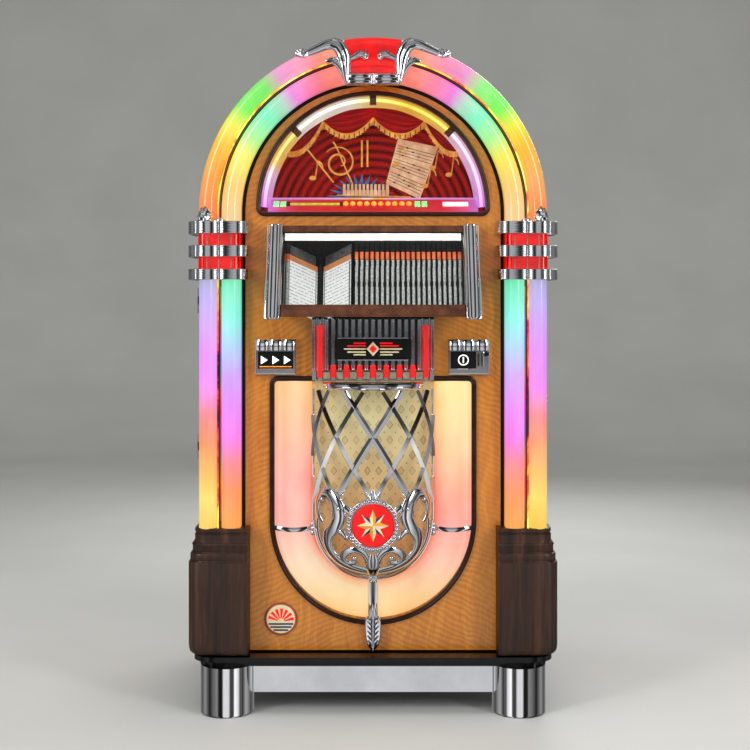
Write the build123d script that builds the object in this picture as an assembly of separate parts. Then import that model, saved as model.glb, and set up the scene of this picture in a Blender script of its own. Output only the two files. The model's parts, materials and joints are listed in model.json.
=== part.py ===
from build123d import *
import math
import os

# Full-size bubbler jukebox with a disc changer. The whole front is one door, hung on its left side.
# Frame: origin on the floor under the centre, +Z up, +X to the viewer's right, front faces -Y. Millimetres.

# Driving dimensions
HEIGHT = 1524.0
FRONT_Y = -343.0
BACK_Y = 343.0
SPRING_Z = 1128.0

# Depth planes
PANEL_FRONT_Y = -228.0
PANEL_BACK_Y = -216.0
DOOR_BACK_Y = -142.0
CABINET_FRONT_Y = -138.0
SHELL_BACK_Y = 325.0
LENS_FRONT_Y = -273.0
TRIM_FRONT_Y = -236.0

# Base
FOOT_RADIUS = 57.0
FOOT_X = 328.0
FOOT_Y = -235.0
FOOT_HEIGHT = 110.0
REAR_FOOT_RADIUS = 40.0
REAR_FOOT_Y = 270.0
PLINTH_STEP_Z = 121.0
PLINTH_TOP_Z = 132.0
DOOR_BOTTOM_Z = 136.0

# Cabinet
SHELL_RADIUS = 398.0
SHELL_WALL = 18.0
SHELL_INNER = SHELL_RADIUS - SHELL_WALL
BAFFLE_HALF = 250.0
BAFFLE_FRONT_Y = -90.0
BAFFLE_BACK_Y = -75.0
WOOFER_Z = 480.0
WOOFER_RADIUS = 128.0
TWEETER_X = 75.0
TWEETER_Z = 690.0
TWEETER_RADIUS = 42.0
ROCKER_Y = 336.0
ROCKER_Z = 210.0
ROCKER_PIN_RADIUS = 1.5
SHELF_Z = 790.0
SHELF_TOP_Z = SHELF_Z + SHELL_WALL
CHANGER_Y = 110.0
CAROUSEL_RADIUS = 170.0
DISC_RADIUS = 60.0
DISC_COUNT = 24
ARM_X = 215.0
ARM_Y = 10.0

# Hinges: the axis runs up the left side, just outside the shell
HINGE_X = -404.0
HINGE_Y = -140.0
HINGE_PIN_RADIUS = 3.0
HINGE_RADIUS = 6.0
HINGE_HEIGHTS = (220.0, 560.0, 900.0)
KNUCKLE = 20.0
RUNNING_FIT = 0.05

# Door carrier and lenses, measured as radii from the arch centre and as distances from the middle plane
FRAME_RADIUS = 394.0
FRAME_WALL = 8.0
FRAME_INNER = 280.0
PANEL_RADIUS = 290.0
INNER_LENS = (298.0, 341.5)
OUTER_LENS = (351.5, 392.0)
LENS_WALL = 3.0
LENS_FOOT_Y = -246.0
COLUMN_BOTTOM_Z = 414.0
COLUMN_TOP_Z = 976.0
COLLAR_TOP_Z = 1108.0
ARCH_END_DEG = 80.0
TUBE_RADIUS = 4.0
TUBE_CENTRE = 346.5
LOBE_IN = 278.0
LOBE_OUT = 414.0
LOBE_FRONT_Y = -292.0
SIDE_BACK_Y = -150.0
RING_HEIGHTS = ((976.0, 1001.0), (1027.0, 1054.0), (1079.0, 1108.0))

# Dome window
DOME_Z = 1140.0
DOME_RADIUS = 257.0
DOME_BOTTOM_Z = 1130.0
DOME_FRAME = 8.0
DOME_TUBE_RADIUS = 7.0
DOME_TUBE_CENTRE = 247.0

# Title rack: leans back, so its foot stands further out than its head
RACK_LEAN = 25.0
RACK_CENTRE = (0.0, -295.0, 1003.0)
RACK_HALF = 202.0
POST_OUT = 239.0
RACK_BOTTOM_Z = 894.0
RACK_SILL_Z = 921.0
RACK_LINTEL_Z = 1085.0
RACK_TOP_Z = 1099.0
RAIL_DEPTH = 14.0
HOUSING_FLOOR_Z = 897.0
HOUSING_WALL = 3.0
HOUSING_DEPTH = 125.0
SPINE_X = -121.0
SPINE_DEPTH = 118.0
PAGE_LENGTH = 108.0
PAGE_ANGLE = 43.0
PAGE_LOW = -50.0
PAGE_HIGH = 78.0
STACK_COUNT = 21
STACK_PITCH = 11.6
STACK_START = -38.0

# Fluted panel, keys and boxes
FLUTED_HALF = 138.0
FLUTED_BOTTOM_Z = 749.0
FLUTED_TOP_Z = 893.0
FLUTE_PITCH = 30.0
FLUTE_RADIUS = 9.0
KEY_COUNT = 8
KEY_WIDTH = 17.0
KEY_HEIGHT = 17.0
KEY_Z = 759.5
KEY_GAP = 0.3
BOX_BOTTOM_Z = 762.0
BOX_TOP_Z = 842.0
BOX_FRONT_Y = -246.0
BUTTON_X = 256.0
BUTTON_Z = 809.0
BUTTON_RADIUS = 5.0

# Lower front: U-shaped lens around a bulging grille
LOWER_Z = 434.0
LOWER_RADIUS = 224.0
LOWER_TOP_Z = 748.0
TRIM_WIDTH = 10.0
GRILLE_HALF = 137.0
GRILLE_BULGE = 88.0
GRILLE_TOP_Z = 731.0
GRILLE_WALL = 5.0
MEDALLION_RADIUS = 59.0

# Colour cylinders behind the columns
CYLINDER_X = 344.0
CYLINDER_Y = -192.0
CYLINDER_RADIUS = 26.0
CYLINDER_WALL = 2.0
SPINDLE_RADIUS = 4.0
LOCK_Y = -178.0
LOCK_Z = 700.0
LOCK_RADIUS = 10.0


def block(x0, x1, y0, y1, z0, z1):
    """A box from its two corners."""
    size = Box(x1 - x0, y1 - y0, z1 - z0)
    return Pos((x0 + x1) / 2, (y0 + y1) / 2, (z0 + z1) / 2) * size


def upright(radius, z0, z1, x=0.0, y=0.0):
    """A vertical cylinder."""
    return Pos(x, y, (z0 + z1) / 2) * Cylinder(radius, z1 - z0)


def facing(radius, y0, y1, x=0.0, z=0.0):
    """A cylinder whose axis runs front to back."""
    return Pos(x, (y0 + y1) / 2, z) * Rot(90, 0, 0) * Cylinder(radius, y1 - y0)


def arched(half, bottom, y0, y1, spring=SPRING_Z):
    """A round-topped slab standing between two depth planes."""
    return block(-half, half, y0, y1, bottom, spring) + facing(half, y0, y1, z=spring)


def u_shape(half, top, y0, y1, centre=LOWER_Z):
    """A slab with a flat top and a round bottom."""
    return block(-half, half, y0, y1, centre, top) + facing(half, y0, y1, z=centre)


def dome(radius, bottom, y0, y1):
    """A half-round slab on a short straight foot."""
    disc = facing(radius, y0, y1, z=DOME_Z)
    return disc - block(-radius, radius, y0, y1, DOME_Z - radius, bottom)


def mirrored(shape):
    """A shape and its twin on the other side of the middle plane."""
    return [shape, mirror(shape, about=Plane.YZ)]


def write(name, shapes):
    """Save one piece, or a group of separate solids."""
    if isinstance(shapes, list):
        shapes = Compound(children=shapes)
    shapes.label = name
    export_step(shapes, f"parts/{name}.step")


# Cabinet


def make_front_feet():
    shell = upright(FOOT_RADIUS, 0, FOOT_HEIGHT, FOOT_X, FOOT_Y)
    hollow = upright(FOOT_RADIUS - 3, 4, FOOT_HEIGHT, FOOT_X, FOOT_Y)
    write("front_feet", mirrored(shell - hollow))


def make_rear_feet():
    foot = upright(REAR_FOOT_RADIUS, 0, FOOT_HEIGHT, FOOT_X, REAR_FOOT_Y)
    write("rear_feet", mirrored(foot))


def make_front_crossbar():
    reach = FOOT_X - FOOT_RADIUS
    plate = block(-reach, reach, FOOT_Y - 8, FOOT_Y - 4, 45, FOOT_HEIGHT)
    flange = block(-reach, reach, FOOT_Y - 4, FOOT_Y + 20, FOOT_HEIGHT - 4, FOOT_HEIGHT)
    write("front_crossbar", plate + flange)


def make_plinth():
    lower = block(-392, 392, -268, 330, FOOT_HEIGHT, PLINTH_STEP_Z)
    upper = block(-405, 405, -280, 336, PLINTH_STEP_Z, PLINTH_TOP_Z)
    lower = fillet(lower.edges().filter_by(Axis.Z), 40)
    upper = fillet(upper.edges().filter_by(Axis.Z), 50)
    write("plinth", lower + upper)


def make_cabinet_shell():
    outer = arched(SHELL_RADIUS, PLINTH_TOP_Z, CABINET_FRONT_Y, SHELL_BACK_Y)
    inner = arched(SHELL_INNER, PLINTH_TOP_Z, CABINET_FRONT_Y, SHELL_BACK_Y)
    write("cabinet_shell", outer - inner)


def make_floor_board():
    top = PLINTH_TOP_Z + SHELL_WALL
    board = block(-SHELL_INNER, SHELL_INNER, CABINET_FRONT_Y, SHELL_BACK_Y, PLINTH_TOP_Z, top)
    write("floor_board", board)


def make_back_panel():
    panel = arched(SHELL_RADIUS, PLINTH_TOP_Z, SHELL_BACK_Y, BACK_Y)
    for column in (-1, 1):
        for row in range(10):
            z = 880 + row * 24
            middle = column * 130
            panel -= block(middle - 90, middle + 90, SHELL_BACK_Y, BACK_Y, z, z + 8)
    panel -= block(246, 314, SHELL_BACK_Y, BACK_Y, 186, 234)
    write("back_panel", panel)


def rocker_pin(radius):
    """The rocker's cross pin."""
    return Pos(264, ROCKER_Y, ROCKER_Z) * Rot(0, 90, 0) * Cylinder(radius, 17)


def make_power_inlet():
    body = block(246, 314, SHELL_BACK_Y, BACK_Y - 2, 186, 234)
    body -= block(257.5, 270.5, SHELL_BACK_Y, BACK_Y, 198, 222)
    body -= block(281, 305, SHELL_BACK_Y + 6, BACK_Y, 201, 219)
    pins = [block(x - 1, x + 1, SHELL_BACK_Y + 6, BACK_Y - 4, 203, 211) for x in (287, 293, 299)]
    body -= rocker_pin(ROCKER_PIN_RADIUS + RUNNING_FIT)
    write("power_inlet", body + pins)


def make_power_rocker():
    write("power_rocker", block(258.5, 269.5, 331, 342.5, 201, 219) + rocker_pin(ROCKER_PIN_RADIUS))


def make_speaker_baffle():
    floor = PLINTH_TOP_Z + SHELL_WALL
    board = block(-BAFFLE_HALF, BAFFLE_HALF, BAFFLE_FRONT_Y, BAFFLE_BACK_Y, floor, SHELF_Z)
    board -= facing(WOOFER_RADIUS, BAFFLE_FRONT_Y, BAFFLE_BACK_Y, z=WOOFER_Z)
    for x in (-TWEETER_X, TWEETER_X):
        board -= facing(TWEETER_RADIUS, BAFFLE_FRONT_Y, BAFFLE_BACK_Y, x=x, z=TWEETER_Z)
    write("speaker_baffle", board)


def driver(radius, x, z):
    """A loudspeaker: flange on the front of the board, cone and basket in the hole, magnet behind."""
    front = BAFFLE_FRONT_Y
    flange = facing(radius + 18, front - 6, front, x=x, z=z)
    basket = Pos(x, front + radius / 4, z) * Rot(-90, 0, 0) * Cone(radius - 1, radius / 2, radius / 2)
    dish = Pos(x, front + radius / 4 - 6, z) * Rot(-90, 0, 0) * Cone(radius - 8, radius / 4, radius / 2)
    magnet = facing(radius / 2, front + radius / 2, front + radius * 0.8, x=x, z=z)
    opening = facing(radius - 8, front - 6, front - 5.5, x=x, z=z)
    cap = facing(radius / 5, front + radius / 2 - 14, front + radius / 2, x=x, z=z)
    return (flange + basket + magnet) - dish - opening + cap


def make_speaker_drivers():
    woofer = driver(WOOFER_RADIUS, 0, WOOFER_Z)
    tweeters = [driver(TWEETER_RADIUS, x, TWEETER_Z) for x in (-TWEETER_X, TWEETER_X)]
    write("speaker_drivers", [woofer] + tweeters)


def make_mechanism_shelf():
    shelf = block(-SHELL_INNER, SHELL_INNER, -95, 300, SHELF_Z, SHELF_TOP_Z)
    write("mechanism_shelf", shelf)


def make_changer_chassis():
    base = block(-250, 250, CHANGER_Y - 185, CHANGER_Y + 185, SHELF_TOP_Z, SHELF_TOP_Z + 6)
    post = upright(12, SHELF_TOP_Z, 900, 0, CHANGER_Y)
    arm_post = upright(8, SHELF_TOP_Z, 985, ARM_X, ARM_Y)
    collar = upright(14, SHELF_TOP_Z, 963.5, ARM_X, ARM_Y)
    player = block(190, 245, CHANGER_Y - 40, CHANGER_Y + 80, SHELF_TOP_Z, 900)
    write("changer_chassis", base + post + collar + arm_post + player)


def make_disc_carousel():
    tray_z = SHELF_TOP_Z + 12
    tray = upright(CAROUSEL_RADIUS, tray_z, tray_z + 8, 0, CHANGER_Y)
    hub = upright(30, tray_z, tray_z + 60, 0, CHANGER_Y)
    carousel = tray + hub
    disc = Pos(CAROUSEL_RADIUS - DISC_RADIUS - 3, 0, tray_z + DISC_RADIUS + 3)
    disc = disc * Rot(90, 0, 0) * Cylinder(DISC_RADIUS, 1.6)
    for turn in range(DISC_COUNT):
        place = Pos(0, CHANGER_Y, 0) * Rot(0, 0, turn * 360 / DISC_COUNT)
        carousel += place * disc
    bore = upright(12 + RUNNING_FIT, tray_z - 5, tray_z + DISC_RADIUS * 2 + 20, 0, CHANGER_Y)
    write("disc_carousel", carousel - bore)


def make_transfer_arm():
    sleeve = upright(15, 964, 980, ARM_X, ARM_Y)
    beam = block(ARM_X - 130, ARM_X, ARM_Y - 8, ARM_Y + 8, 966, 978)
    grip = block(ARM_X - 150, ARM_X - 125, ARM_Y - 14, ARM_Y + 14, 962, 974)
    bore = upright(8 + RUNNING_FIT, 960, 984, ARM_X, ARM_Y)
    write("transfer_arm", sleeve + beam + grip - bore)


def make_amplifier():
    floor = PLINTH_TOP_Z + SHELL_WALL
    case = block(-330, -70, 90, 270, floor, floor + 90)
    for fin in range(11):
        x = -325 + fin * 24
        case += block(x, x + 6, 100, 260, floor + 90, floor + 120)
    write("amplifier", case)


def make_cash_box():
    floor = PLINTH_TOP_Z + SHELL_WALL
    case = block(262, 372, -130, 20, floor, floor + 120)
    write("cash_box", case - block(264, 370, -128, 18, floor + 2, floor + 120))


def make_door_hinges():
    hinges = []
    for z in HINGE_HEIGHTS:
        pin = upright(HINGE_PIN_RADIUS, z, z + 3 * KNUCKLE, HINGE_X, HINGE_Y)
        for low in (z, z + 2 * KNUCKLE):
            pin += upright(HINGE_RADIUS, low, low + KNUCKLE, HINGE_X, HINGE_Y)
        leaf = block(HINGE_X - 1, -SHELL_RADIUS, HINGE_Y + 7, HINGE_Y + 60, z, z + 3 * KNUCKLE)
        for low in (z, z + 2 * KNUCKLE):
            leaf += block(HINGE_X - 1, -SHELL_RADIUS - 1, HINGE_Y, HINGE_Y + 8, low, low + KNUCKLE)
        hinges.append(pin + leaf)
    write("door_hinges", hinges)


# Door carrier


def make_door_frame():
    ring = arched(FRAME_RADIUS, DOOR_BOTTOM_Z, -160, DOOR_BACK_Y)
    ring -= arched(FRAME_INNER, 182, -160, DOOR_BACK_Y)
    outer = arched(FRAME_RADIUS, DOOR_BOTTOM_Z, PANEL_BACK_Y, -160)
    outer -= arched(FRAME_RADIUS - FRAME_WALL, DOOR_BOTTOM_Z + FRAME_WALL, PANEL_BACK_Y, -160)
    inner = arched(FRAME_INNER + 20, 162, PANEL_BACK_Y, -160)
    inner -= arched(FRAME_INNER, 182, PANEL_BACK_Y, -160)
    frame = ring + outer + inner
    for z in (420, 966):
        for side in (-1, 1):
            x0, x1 = sorted((side * 299, side * 387))
            frame += block(x0, x1, PANEL_BACK_Y, -159, z, z + 4)
            frame -= upright(SPINDLE_RADIUS + RUNNING_FIT, z, z + 4, side * CYLINDER_X, CYLINDER_Y)
    for z in HINGE_HEIGHTS:
        low = z + KNUCKLE + KEY_GAP
        high = z + 2 * KNUCKLE - KEY_GAP
        knuckle = upright(HINGE_RADIUS, low, high, HINGE_X, HINGE_Y)
        knuckle += block(HINGE_X, -FRAME_RADIUS + 4, HINGE_Y - HINGE_RADIUS, DOOR_BACK_Y, low, high)
        frame += knuckle
        frame -= upright(HINGE_PIN_RADIUS + RUNNING_FIT, low, high, HINGE_X, HINGE_Y)
    lock_hole = Pos(FRAME_RADIUS, LOCK_Y, LOCK_Z) * Rot(0, 90, 0)
    frame -= lock_hole * Cylinder(LOCK_RADIUS + RUNNING_FIT, 40)
    write("door_frame", frame)


def make_door_lock():
    place = Pos(FRAME_RADIUS, LOCK_Y, LOCK_Z) * Rot(0, 90, 0)
    barrel = place * Pos(0, 0, -4) * Cylinder(LOCK_RADIUS, 24)
    cam = block(377, 381, LOCK_Y - 6, LOCK_Y + 6, LOCK_Z - 6, LOCK_Z + 15)
    slot = block(FRAME_RADIUS + 5, FRAME_RADIUS + 10, LOCK_Y - 1, LOCK_Y + 1, LOCK_Z - 5, LOCK_Z + 5)
    write("door_lock", barrel + cam - slot)


def make_door_panel():
    panel = arched(PANEL_RADIUS, DOOR_BOTTOM_Z, PANEL_FRONT_Y, PANEL_BACK_Y)
    panel -= dome(DOME_RADIUS, DOME_BOTTOM_Z, PANEL_FRONT_Y, PANEL_BACK_Y)
    panel -= u_shape(LOWER_RADIUS, LOWER_TOP_Z, PANEL_FRONT_Y, PANEL_BACK_Y)
    reach = RACK_HALF + KEY_GAP
    bottom = HOUSING_FLOOR_Z - KEY_GAP
    top = RACK_LINTEL_Z + KEY_GAP
    panel -= block(-reach, reach, PANEL_FRONT_Y, PANEL_BACK_Y, bottom, top)
    write("door_panel", panel)


# Columns and arch


def lens_outline(near, far, near_y, far_y, front):
    """Straight flanks joined by a round crown, from the near foot over to the far foot."""
    shoulder = front + (far - near) / 2
    crown = ThreePointArc((near, shoulder), ((near + far) / 2, front), (far, shoulder))
    return [Line((near, near_y), (near, shoulder)), crown, Line((far, shoulder), (far, far_y))]


def lens_face(near, far, near_y, far_y):
    """Section of a bulging lens wall between two radii."""
    wall = LENS_WALL
    skin = lens_outline(near, far, near_y, far_y, LENS_FRONT_Y)
    lining = lens_outline(near + wall, far - wall, near_y, far_y, LENS_FRONT_Y + wall)
    feet = [Line((near, near_y), (near + wall, near_y)), Line((far, far_y), (far - wall, far_y))]
    return make_face(skin + lining + feet)


def along_front(section):
    """Run a section up the column and round the arch, on both sides."""
    column = extrude(Pos(0, 0, COLUMN_BOTTOM_Z) * section, amount=COLUMN_TOP_Z - COLUMN_BOTTOM_Z)
    straight = extrude(Pos(0, 0, COLLAR_TOP_Z) * section, amount=SPRING_Z - COLLAR_TOP_Z)
    turning_line = Axis((0, 0, SPRING_Z), (0, -1, 0))
    bend = revolve(Pos(0, 0, SPRING_Z) * section, axis=turning_line, revolution_arc=ARCH_END_DEG)
    return mirrored(column) + mirrored(straight + bend)


def make_lenses():
    inner = lens_face(INNER_LENS[0], INNER_LENS[1], PANEL_FRONT_Y, LENS_FOOT_Y)
    outer = lens_face(OUTER_LENS[0], OUTER_LENS[1], LENS_FOOT_Y, PANEL_BACK_Y)
    write("inner_lenses", along_front(inner))
    write("outer_lenses", along_front(outer))


def make_bubble_tubes():
    section = Pos(TUBE_CENTRE, LENS_FRONT_Y + 10) * Circle(TUBE_RADIUS)
    write("bubble_tubes", along_front(section))


def lobed_face(inset, notch):
    """Section shared by the lower pilasters and the collar rings: two lobes round the front corner."""
    x_in = LOBE_IN + inset
    x_out = LOBE_OUT - inset
    front = LOBE_FRONT_Y + inset
    middle = TUBE_CENTRE
    line = [
        Line((PANEL_RADIUS, PANEL_BACK_Y), (PANEL_RADIUS, PANEL_FRONT_Y)),
        Line((PANEL_RADIUS, PANEL_FRONT_Y), (x_in, PANEL_FRONT_Y)),
        ThreePointArc((x_in, PANEL_FRONT_Y), (x_in + 26, front + 8), (middle, front + notch)),
        ThreePointArc((middle, front + notch), (x_out - 18, front + 18), (x_out, -225)),
        Line((x_out, -225), (x_out, SIDE_BACK_Y)),
        Line((x_out, SIDE_BACK_Y), (FRAME_RADIUS, SIDE_BACK_Y)),
        Line((FRAME_RADIUS, SIDE_BACK_Y), (FRAME_RADIUS, PANEL_BACK_Y)),
        Line((FRAME_RADIUS, PANEL_BACK_Y), (PANEL_RADIUS, PANEL_BACK_Y)),
    ]
    return make_face(line)


def make_pilasters():
    tiers = ((DOOR_BOTTOM_Z, 338, 0), (338, 356, 2), (356, 370, 5), (370, 380, 8), (380, COLUMN_BOTTOM_Z, 10))
    body = Part()
    for low, high, inset in tiers:
        body += extrude(Pos(0, 0, low) * lobed_face(inset, 6), amount=high - low)
    write("pilasters", mirrored(body))


def make_collars():
    core = block(INNER_LENS[0], FRAME_RADIUS, -268, PANEL_BACK_Y, COLUMN_TOP_Z, COLLAR_TOP_Z)
    core = fillet(core.edges().filter_by(Axis.Z).group_by(Axis.Y)[0], 16)
    hollow = block(INNER_LENS[0] + 4, FRAME_RADIUS - 4, -264, PANEL_BACK_Y, COLUMN_TOP_Z, COLLAR_TOP_Z)
    write("collar_bands", mirrored(core - hollow))
    rings = []
    for low, high in RING_HEIGHTS:
        ring = extrude(Pos(0, 0, low) * lobed_face(-4, 16), amount=high - low)
        rings += mirrored(ring - core)
    write("collar_rings", rings)


def make_crown():
    cap = block(-90, 90, LENS_FRONT_Y - 2, PANEL_BACK_Y, SPRING_Z, HEIGHT)
    cap = cap & facing(HEIGHT - SPRING_Z, LENS_FRONT_Y - 2, PANEL_BACK_Y, z=SPRING_Z)
    cap -= facing(INNER_LENS[0], LENS_FRONT_Y - 2, PANEL_BACK_Y, z=SPRING_Z)
    spread = math.radians(90 - ARCH_END_DEG - 0.2)
    far = (HEIGHT - SPRING_Z + 40) * math.tan(spread)
    wedge = Polyline((0, 0), (-far, HEIGHT - SPRING_Z + 40), (far, HEIGHT - SPRING_Z + 40), close=True)
    wedge = extrude(Plane.XZ * make_face(wedge), amount=400, both=True)
    write("crown_cap", cap & (Pos(0, 0, SPRING_Z) * wedge))
    bar = block(-61, 61, LENS_FRONT_Y - 16, LENS_FRONT_Y - 3, 1419, 1447)
    bar = fillet(bar.edges().filter_by(Axis.Y), 8)
    arm = block(50, 64, LENS_FRONT_Y - 16, LENS_FRONT_Y - 3, 1440, 1518)
    write("crown_bracket", bar + arm + mirror(arm, about=Plane.YZ))


# Dome window


def make_dome():
    outer = dome(DOME_RADIUS + DOME_FRAME, DOME_BOTTOM_Z - DOME_FRAME, TRIM_FRONT_Y, PANEL_FRONT_Y)
    write("dome_frame", outer - dome(DOME_RADIUS - 2, DOME_BOTTOM_Z + 2, TRIM_FRONT_Y, PANEL_FRONT_Y))
    write("dome_glass", dome(DOME_RADIUS - KEY_GAP, DOME_BOTTOM_Z + KEY_GAP, -225, -221))
    section = Pos(DOME_TUBE_CENTRE, -208) * Circle(DOME_TUBE_RADIUS)
    turning_line = Axis((0, 0, DOME_Z), (0, -1, 0))
    tubes = []
    for quarter in range(4):
        tube = revolve(Pos(0, 0, DOME_Z) * section, axis=turning_line, revolution_arc=43)
        tubes.append(tube.rotate(turning_line, 1 + quarter * 45))
    write("dome_light_tubes", tubes)
    case = dome(DOME_RADIUS + 3, DOME_BOTTOM_Z - 3, PANEL_BACK_Y, -153)
    write("dome_interior", case - dome(DOME_RADIUS, DOME_BOTTOM_Z, PANEL_BACK_Y, -156))


# Title rack

LEAN = math.radians(RACK_LEAN)
RACK_OUTWARD = (0, -math.cos(LEAN), math.sin(LEAN))
RACK_PLANE = Plane(origin=RACK_CENTRE, x_dir=(1, 0, 0), z_dir=RACK_OUTWARD)
RACK_REACH = 160.0


def leaning(x0, x1, low, high, back, front):
    """A box in the rack's own leaning frame: across, up the slope, and out of it."""
    return RACK_PLANE * block(x0, x1, low, high, back, front)


def make_rack():
    lintel = leaning(-RACK_HALF, RACK_HALF, -RACK_REACH, RACK_REACH, -RAIL_DEPTH, 0)
    lintel = lintel & block(-RACK_HALF, RACK_HALF, FRONT_Y, PANEL_FRONT_Y, RACK_LINTEL_Z, RACK_TOP_Z)
    sill = leaning(-RACK_HALF, RACK_HALF, -RACK_REACH, RACK_REACH, -RAIL_DEPTH, 0)
    sill = sill & block(-RACK_HALF, RACK_HALF, FRONT_Y, PANEL_FRONT_Y, RACK_BOTTOM_Z, RACK_SILL_Z)
    write("rack_rails", [lintel, sill])
    middle = (RACK_HALF + POST_OUT) / 2
    radius = (POST_OUT - RACK_HALF) / 2
    round_front = Pos(middle, 0, -radius) * Rot(90, 0, 0) * Cylinder(radius, 2 * RACK_REACH)
    post = leaning(RACK_HALF, POST_OUT, -RACK_REACH, RACK_REACH, -HOUSING_DEPTH, -radius)
    post = post + RACK_PLANE * round_front
    post = post & block(RACK_HALF, POST_OUT, FRONT_Y, PANEL_FRONT_Y, RACK_BOTTOM_Z, RACK_TOP_Z + 2)
    write("rack_posts", mirrored(post))
    glass = leaning(-RACK_HALF, RACK_HALF, -RACK_REACH, RACK_REACH, -6, -3)
    write("rack_glass", glass & block(-RACK_HALF, RACK_HALF, FRONT_Y, -200, RACK_SILL_Z, RACK_LINTEL_Z))


def make_rack_housing():
    wall = HOUSING_WALL
    case = leaning(-RACK_HALF, RACK_HALF, -RACK_REACH, RACK_REACH, -HOUSING_DEPTH, -RAIL_DEPTH)
    case = case & block(-RACK_HALF, RACK_HALF, FRONT_Y, -146, HOUSING_FLOOR_Z, RACK_LINTEL_Z)
    inner = RACK_HALF - wall
    room = leaning(-inner, inner, -RACK_REACH, RACK_REACH, wall - HOUSING_DEPTH, -RAIL_DEPTH)
    room = room & block(-inner, inner, FRONT_Y, -146 - wall, HOUSING_FLOOR_Z + wall, RACK_LINTEL_Z - wall)
    write("rack_housing", case - room)


def page(angle):
    """A title page that stands out from the spine, swung sideways from straight ahead."""
    leaf = block(-1, 1, PAGE_LOW, PAGE_HIGH, 6, PAGE_LENGTH)
    return Pos(SPINE_X, 0, -SPINE_DEPTH) * Rot(0, angle, 0) * leaf


def spine_rod(radius, low, high):
    """A round bar along the spine."""
    middle = (low + high) / 2
    return Pos(SPINE_X, middle, -SPINE_DEPTH) * Rot(90, 0, 0) * Cylinder(radius, high - low)


def make_title_pages():
    rod = spine_rod(2, PAGE_LOW - 4, PAGE_HIGH + 4)
    right = page(PAGE_ANGLE) + spine_rod(3.5, PAGE_LOW - 4, PAGE_LOW + 10) + rod
    foot = block(-1, 1, PAGE_LOW, PAGE_LOW + 10, 2, 8)
    right += Pos(SPINE_X, 0, -SPINE_DEPTH) * Rot(0, PAGE_ANGLE, 0) * foot
    pieces = [RACK_PLANE * right]
    for leaf in range(STACK_COUNT):
        x = STACK_START + leaf * STACK_PITCH
        pieces.append(leaning(x, x + 2, PAGE_LOW, PAGE_HIGH, -112, -30))
    write("title_pages", pieces)


def make_turning_page():
    sleeve = spine_rod(3.5, PAGE_LOW + 12, PAGE_HIGH)
    arm = block(-1, 1, PAGE_LOW + 12, PAGE_HIGH, 3, 8)
    arm = Pos(SPINE_X, 0, -SPINE_DEPTH) * Rot(0, -PAGE_ANGLE, 0) * arm
    leaf = page(-PAGE_ANGLE) + sleeve + arm
    leaf -= spine_rod(2 + RUNNING_FIT, PAGE_LOW, PAGE_HIGH + 1)
    write("turning_page", RACK_PLANE * leaf)


# Fluted panel, keys, boxes


def key_x(index):
    """Middle of one selector key."""
    return (index - (KEY_COUNT - 1) / 2) * FLUTE_PITCH


def make_fluted_panel():
    plate = block(-FLUTED_HALF, FLUTED_HALF, TRIM_FRONT_Y, PANEL_FRONT_Y, FLUTED_BOTTOM_Z, FLUTED_TOP_Z)
    for flute in range(-4, 5):
        plate += upright(FLUTE_RADIUS, 772, FLUTED_TOP_Z - 2, flute * FLUTE_PITCH, TRIM_FRONT_Y)
    plate -= block(-FLUTED_HALF, FLUTED_HALF, PANEL_FRONT_Y, PANEL_FRONT_Y + 20, 740, 900)
    for index in range(KEY_COUNT):
        x = key_x(index)
        half = KEY_WIDTH / 2 + KEY_GAP
        rise = KEY_HEIGHT / 2 + KEY_GAP
        plate -= block(x - half, x + half, TRIM_FRONT_Y, PANEL_FRONT_Y, KEY_Z - rise, KEY_Z + rise)
    write("fluted_panel", plate)


def make_selector_keys():
    for index in range(KEY_COUNT):
        x = key_x(index)
        low = KEY_Z - KEY_HEIGHT / 2
        key = block(x - KEY_WIDTH / 2, x + KEY_WIDTH / 2, -244, -232, low, low + KEY_HEIGHT)
        key = fillet(key.edges().group_by(Axis.Y)[0], 2)
        write(f"selector_key_{index + 1}", key)


def make_key_bar():
    slab = Pos(0, PANEL_FRONT_Y, GRILLE_TOP_Z) * extrude(Ellipse(113, 80), amount=15)
    slab = slab & block(-120, 120, FRONT_Y, TRIM_FRONT_Y - 1, GRILLE_TOP_Z, GRILLE_TOP_Z + 15)
    write("key_bar", slab)


def make_boxes():
    message = block(-266, -174, BOX_FRONT_Y, PANEL_FRONT_Y, BOX_BOTTOM_Z, BOX_TOP_Z)
    message = fillet(message.edges().group_by(Axis.Y)[0], 3)
    message -= block(-260, -180, BOX_FRONT_Y, BOX_FRONT_Y + 2, 776, 815)
    write("message_box", message)
    coin = block(170, 263, BOX_FRONT_Y, PANEL_FRONT_Y, BOX_BOTTOM_Z, BOX_TOP_Z)
    coin = fillet(coin.edges().group_by(Axis.Y)[0], 3)
    coin -= block(175, 233, BOX_FRONT_Y, BOX_FRONT_Y + 2, 776, 815)
    coin -= block(236.5, 239.5, BOX_FRONT_Y, PANEL_FRONT_Y, 782, 810)
    coin -= facing(BUTTON_RADIUS + RUNNING_FIT, BOX_FRONT_Y, PANEL_FRONT_Y, x=BUTTON_X, z=BUTTON_Z)
    write("coin_box", coin)
    write("reject_button", facing(BUTTON_RADIUS, -252, -234, x=BUTTON_X, z=BUTTON_Z))


# Lower front


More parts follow.
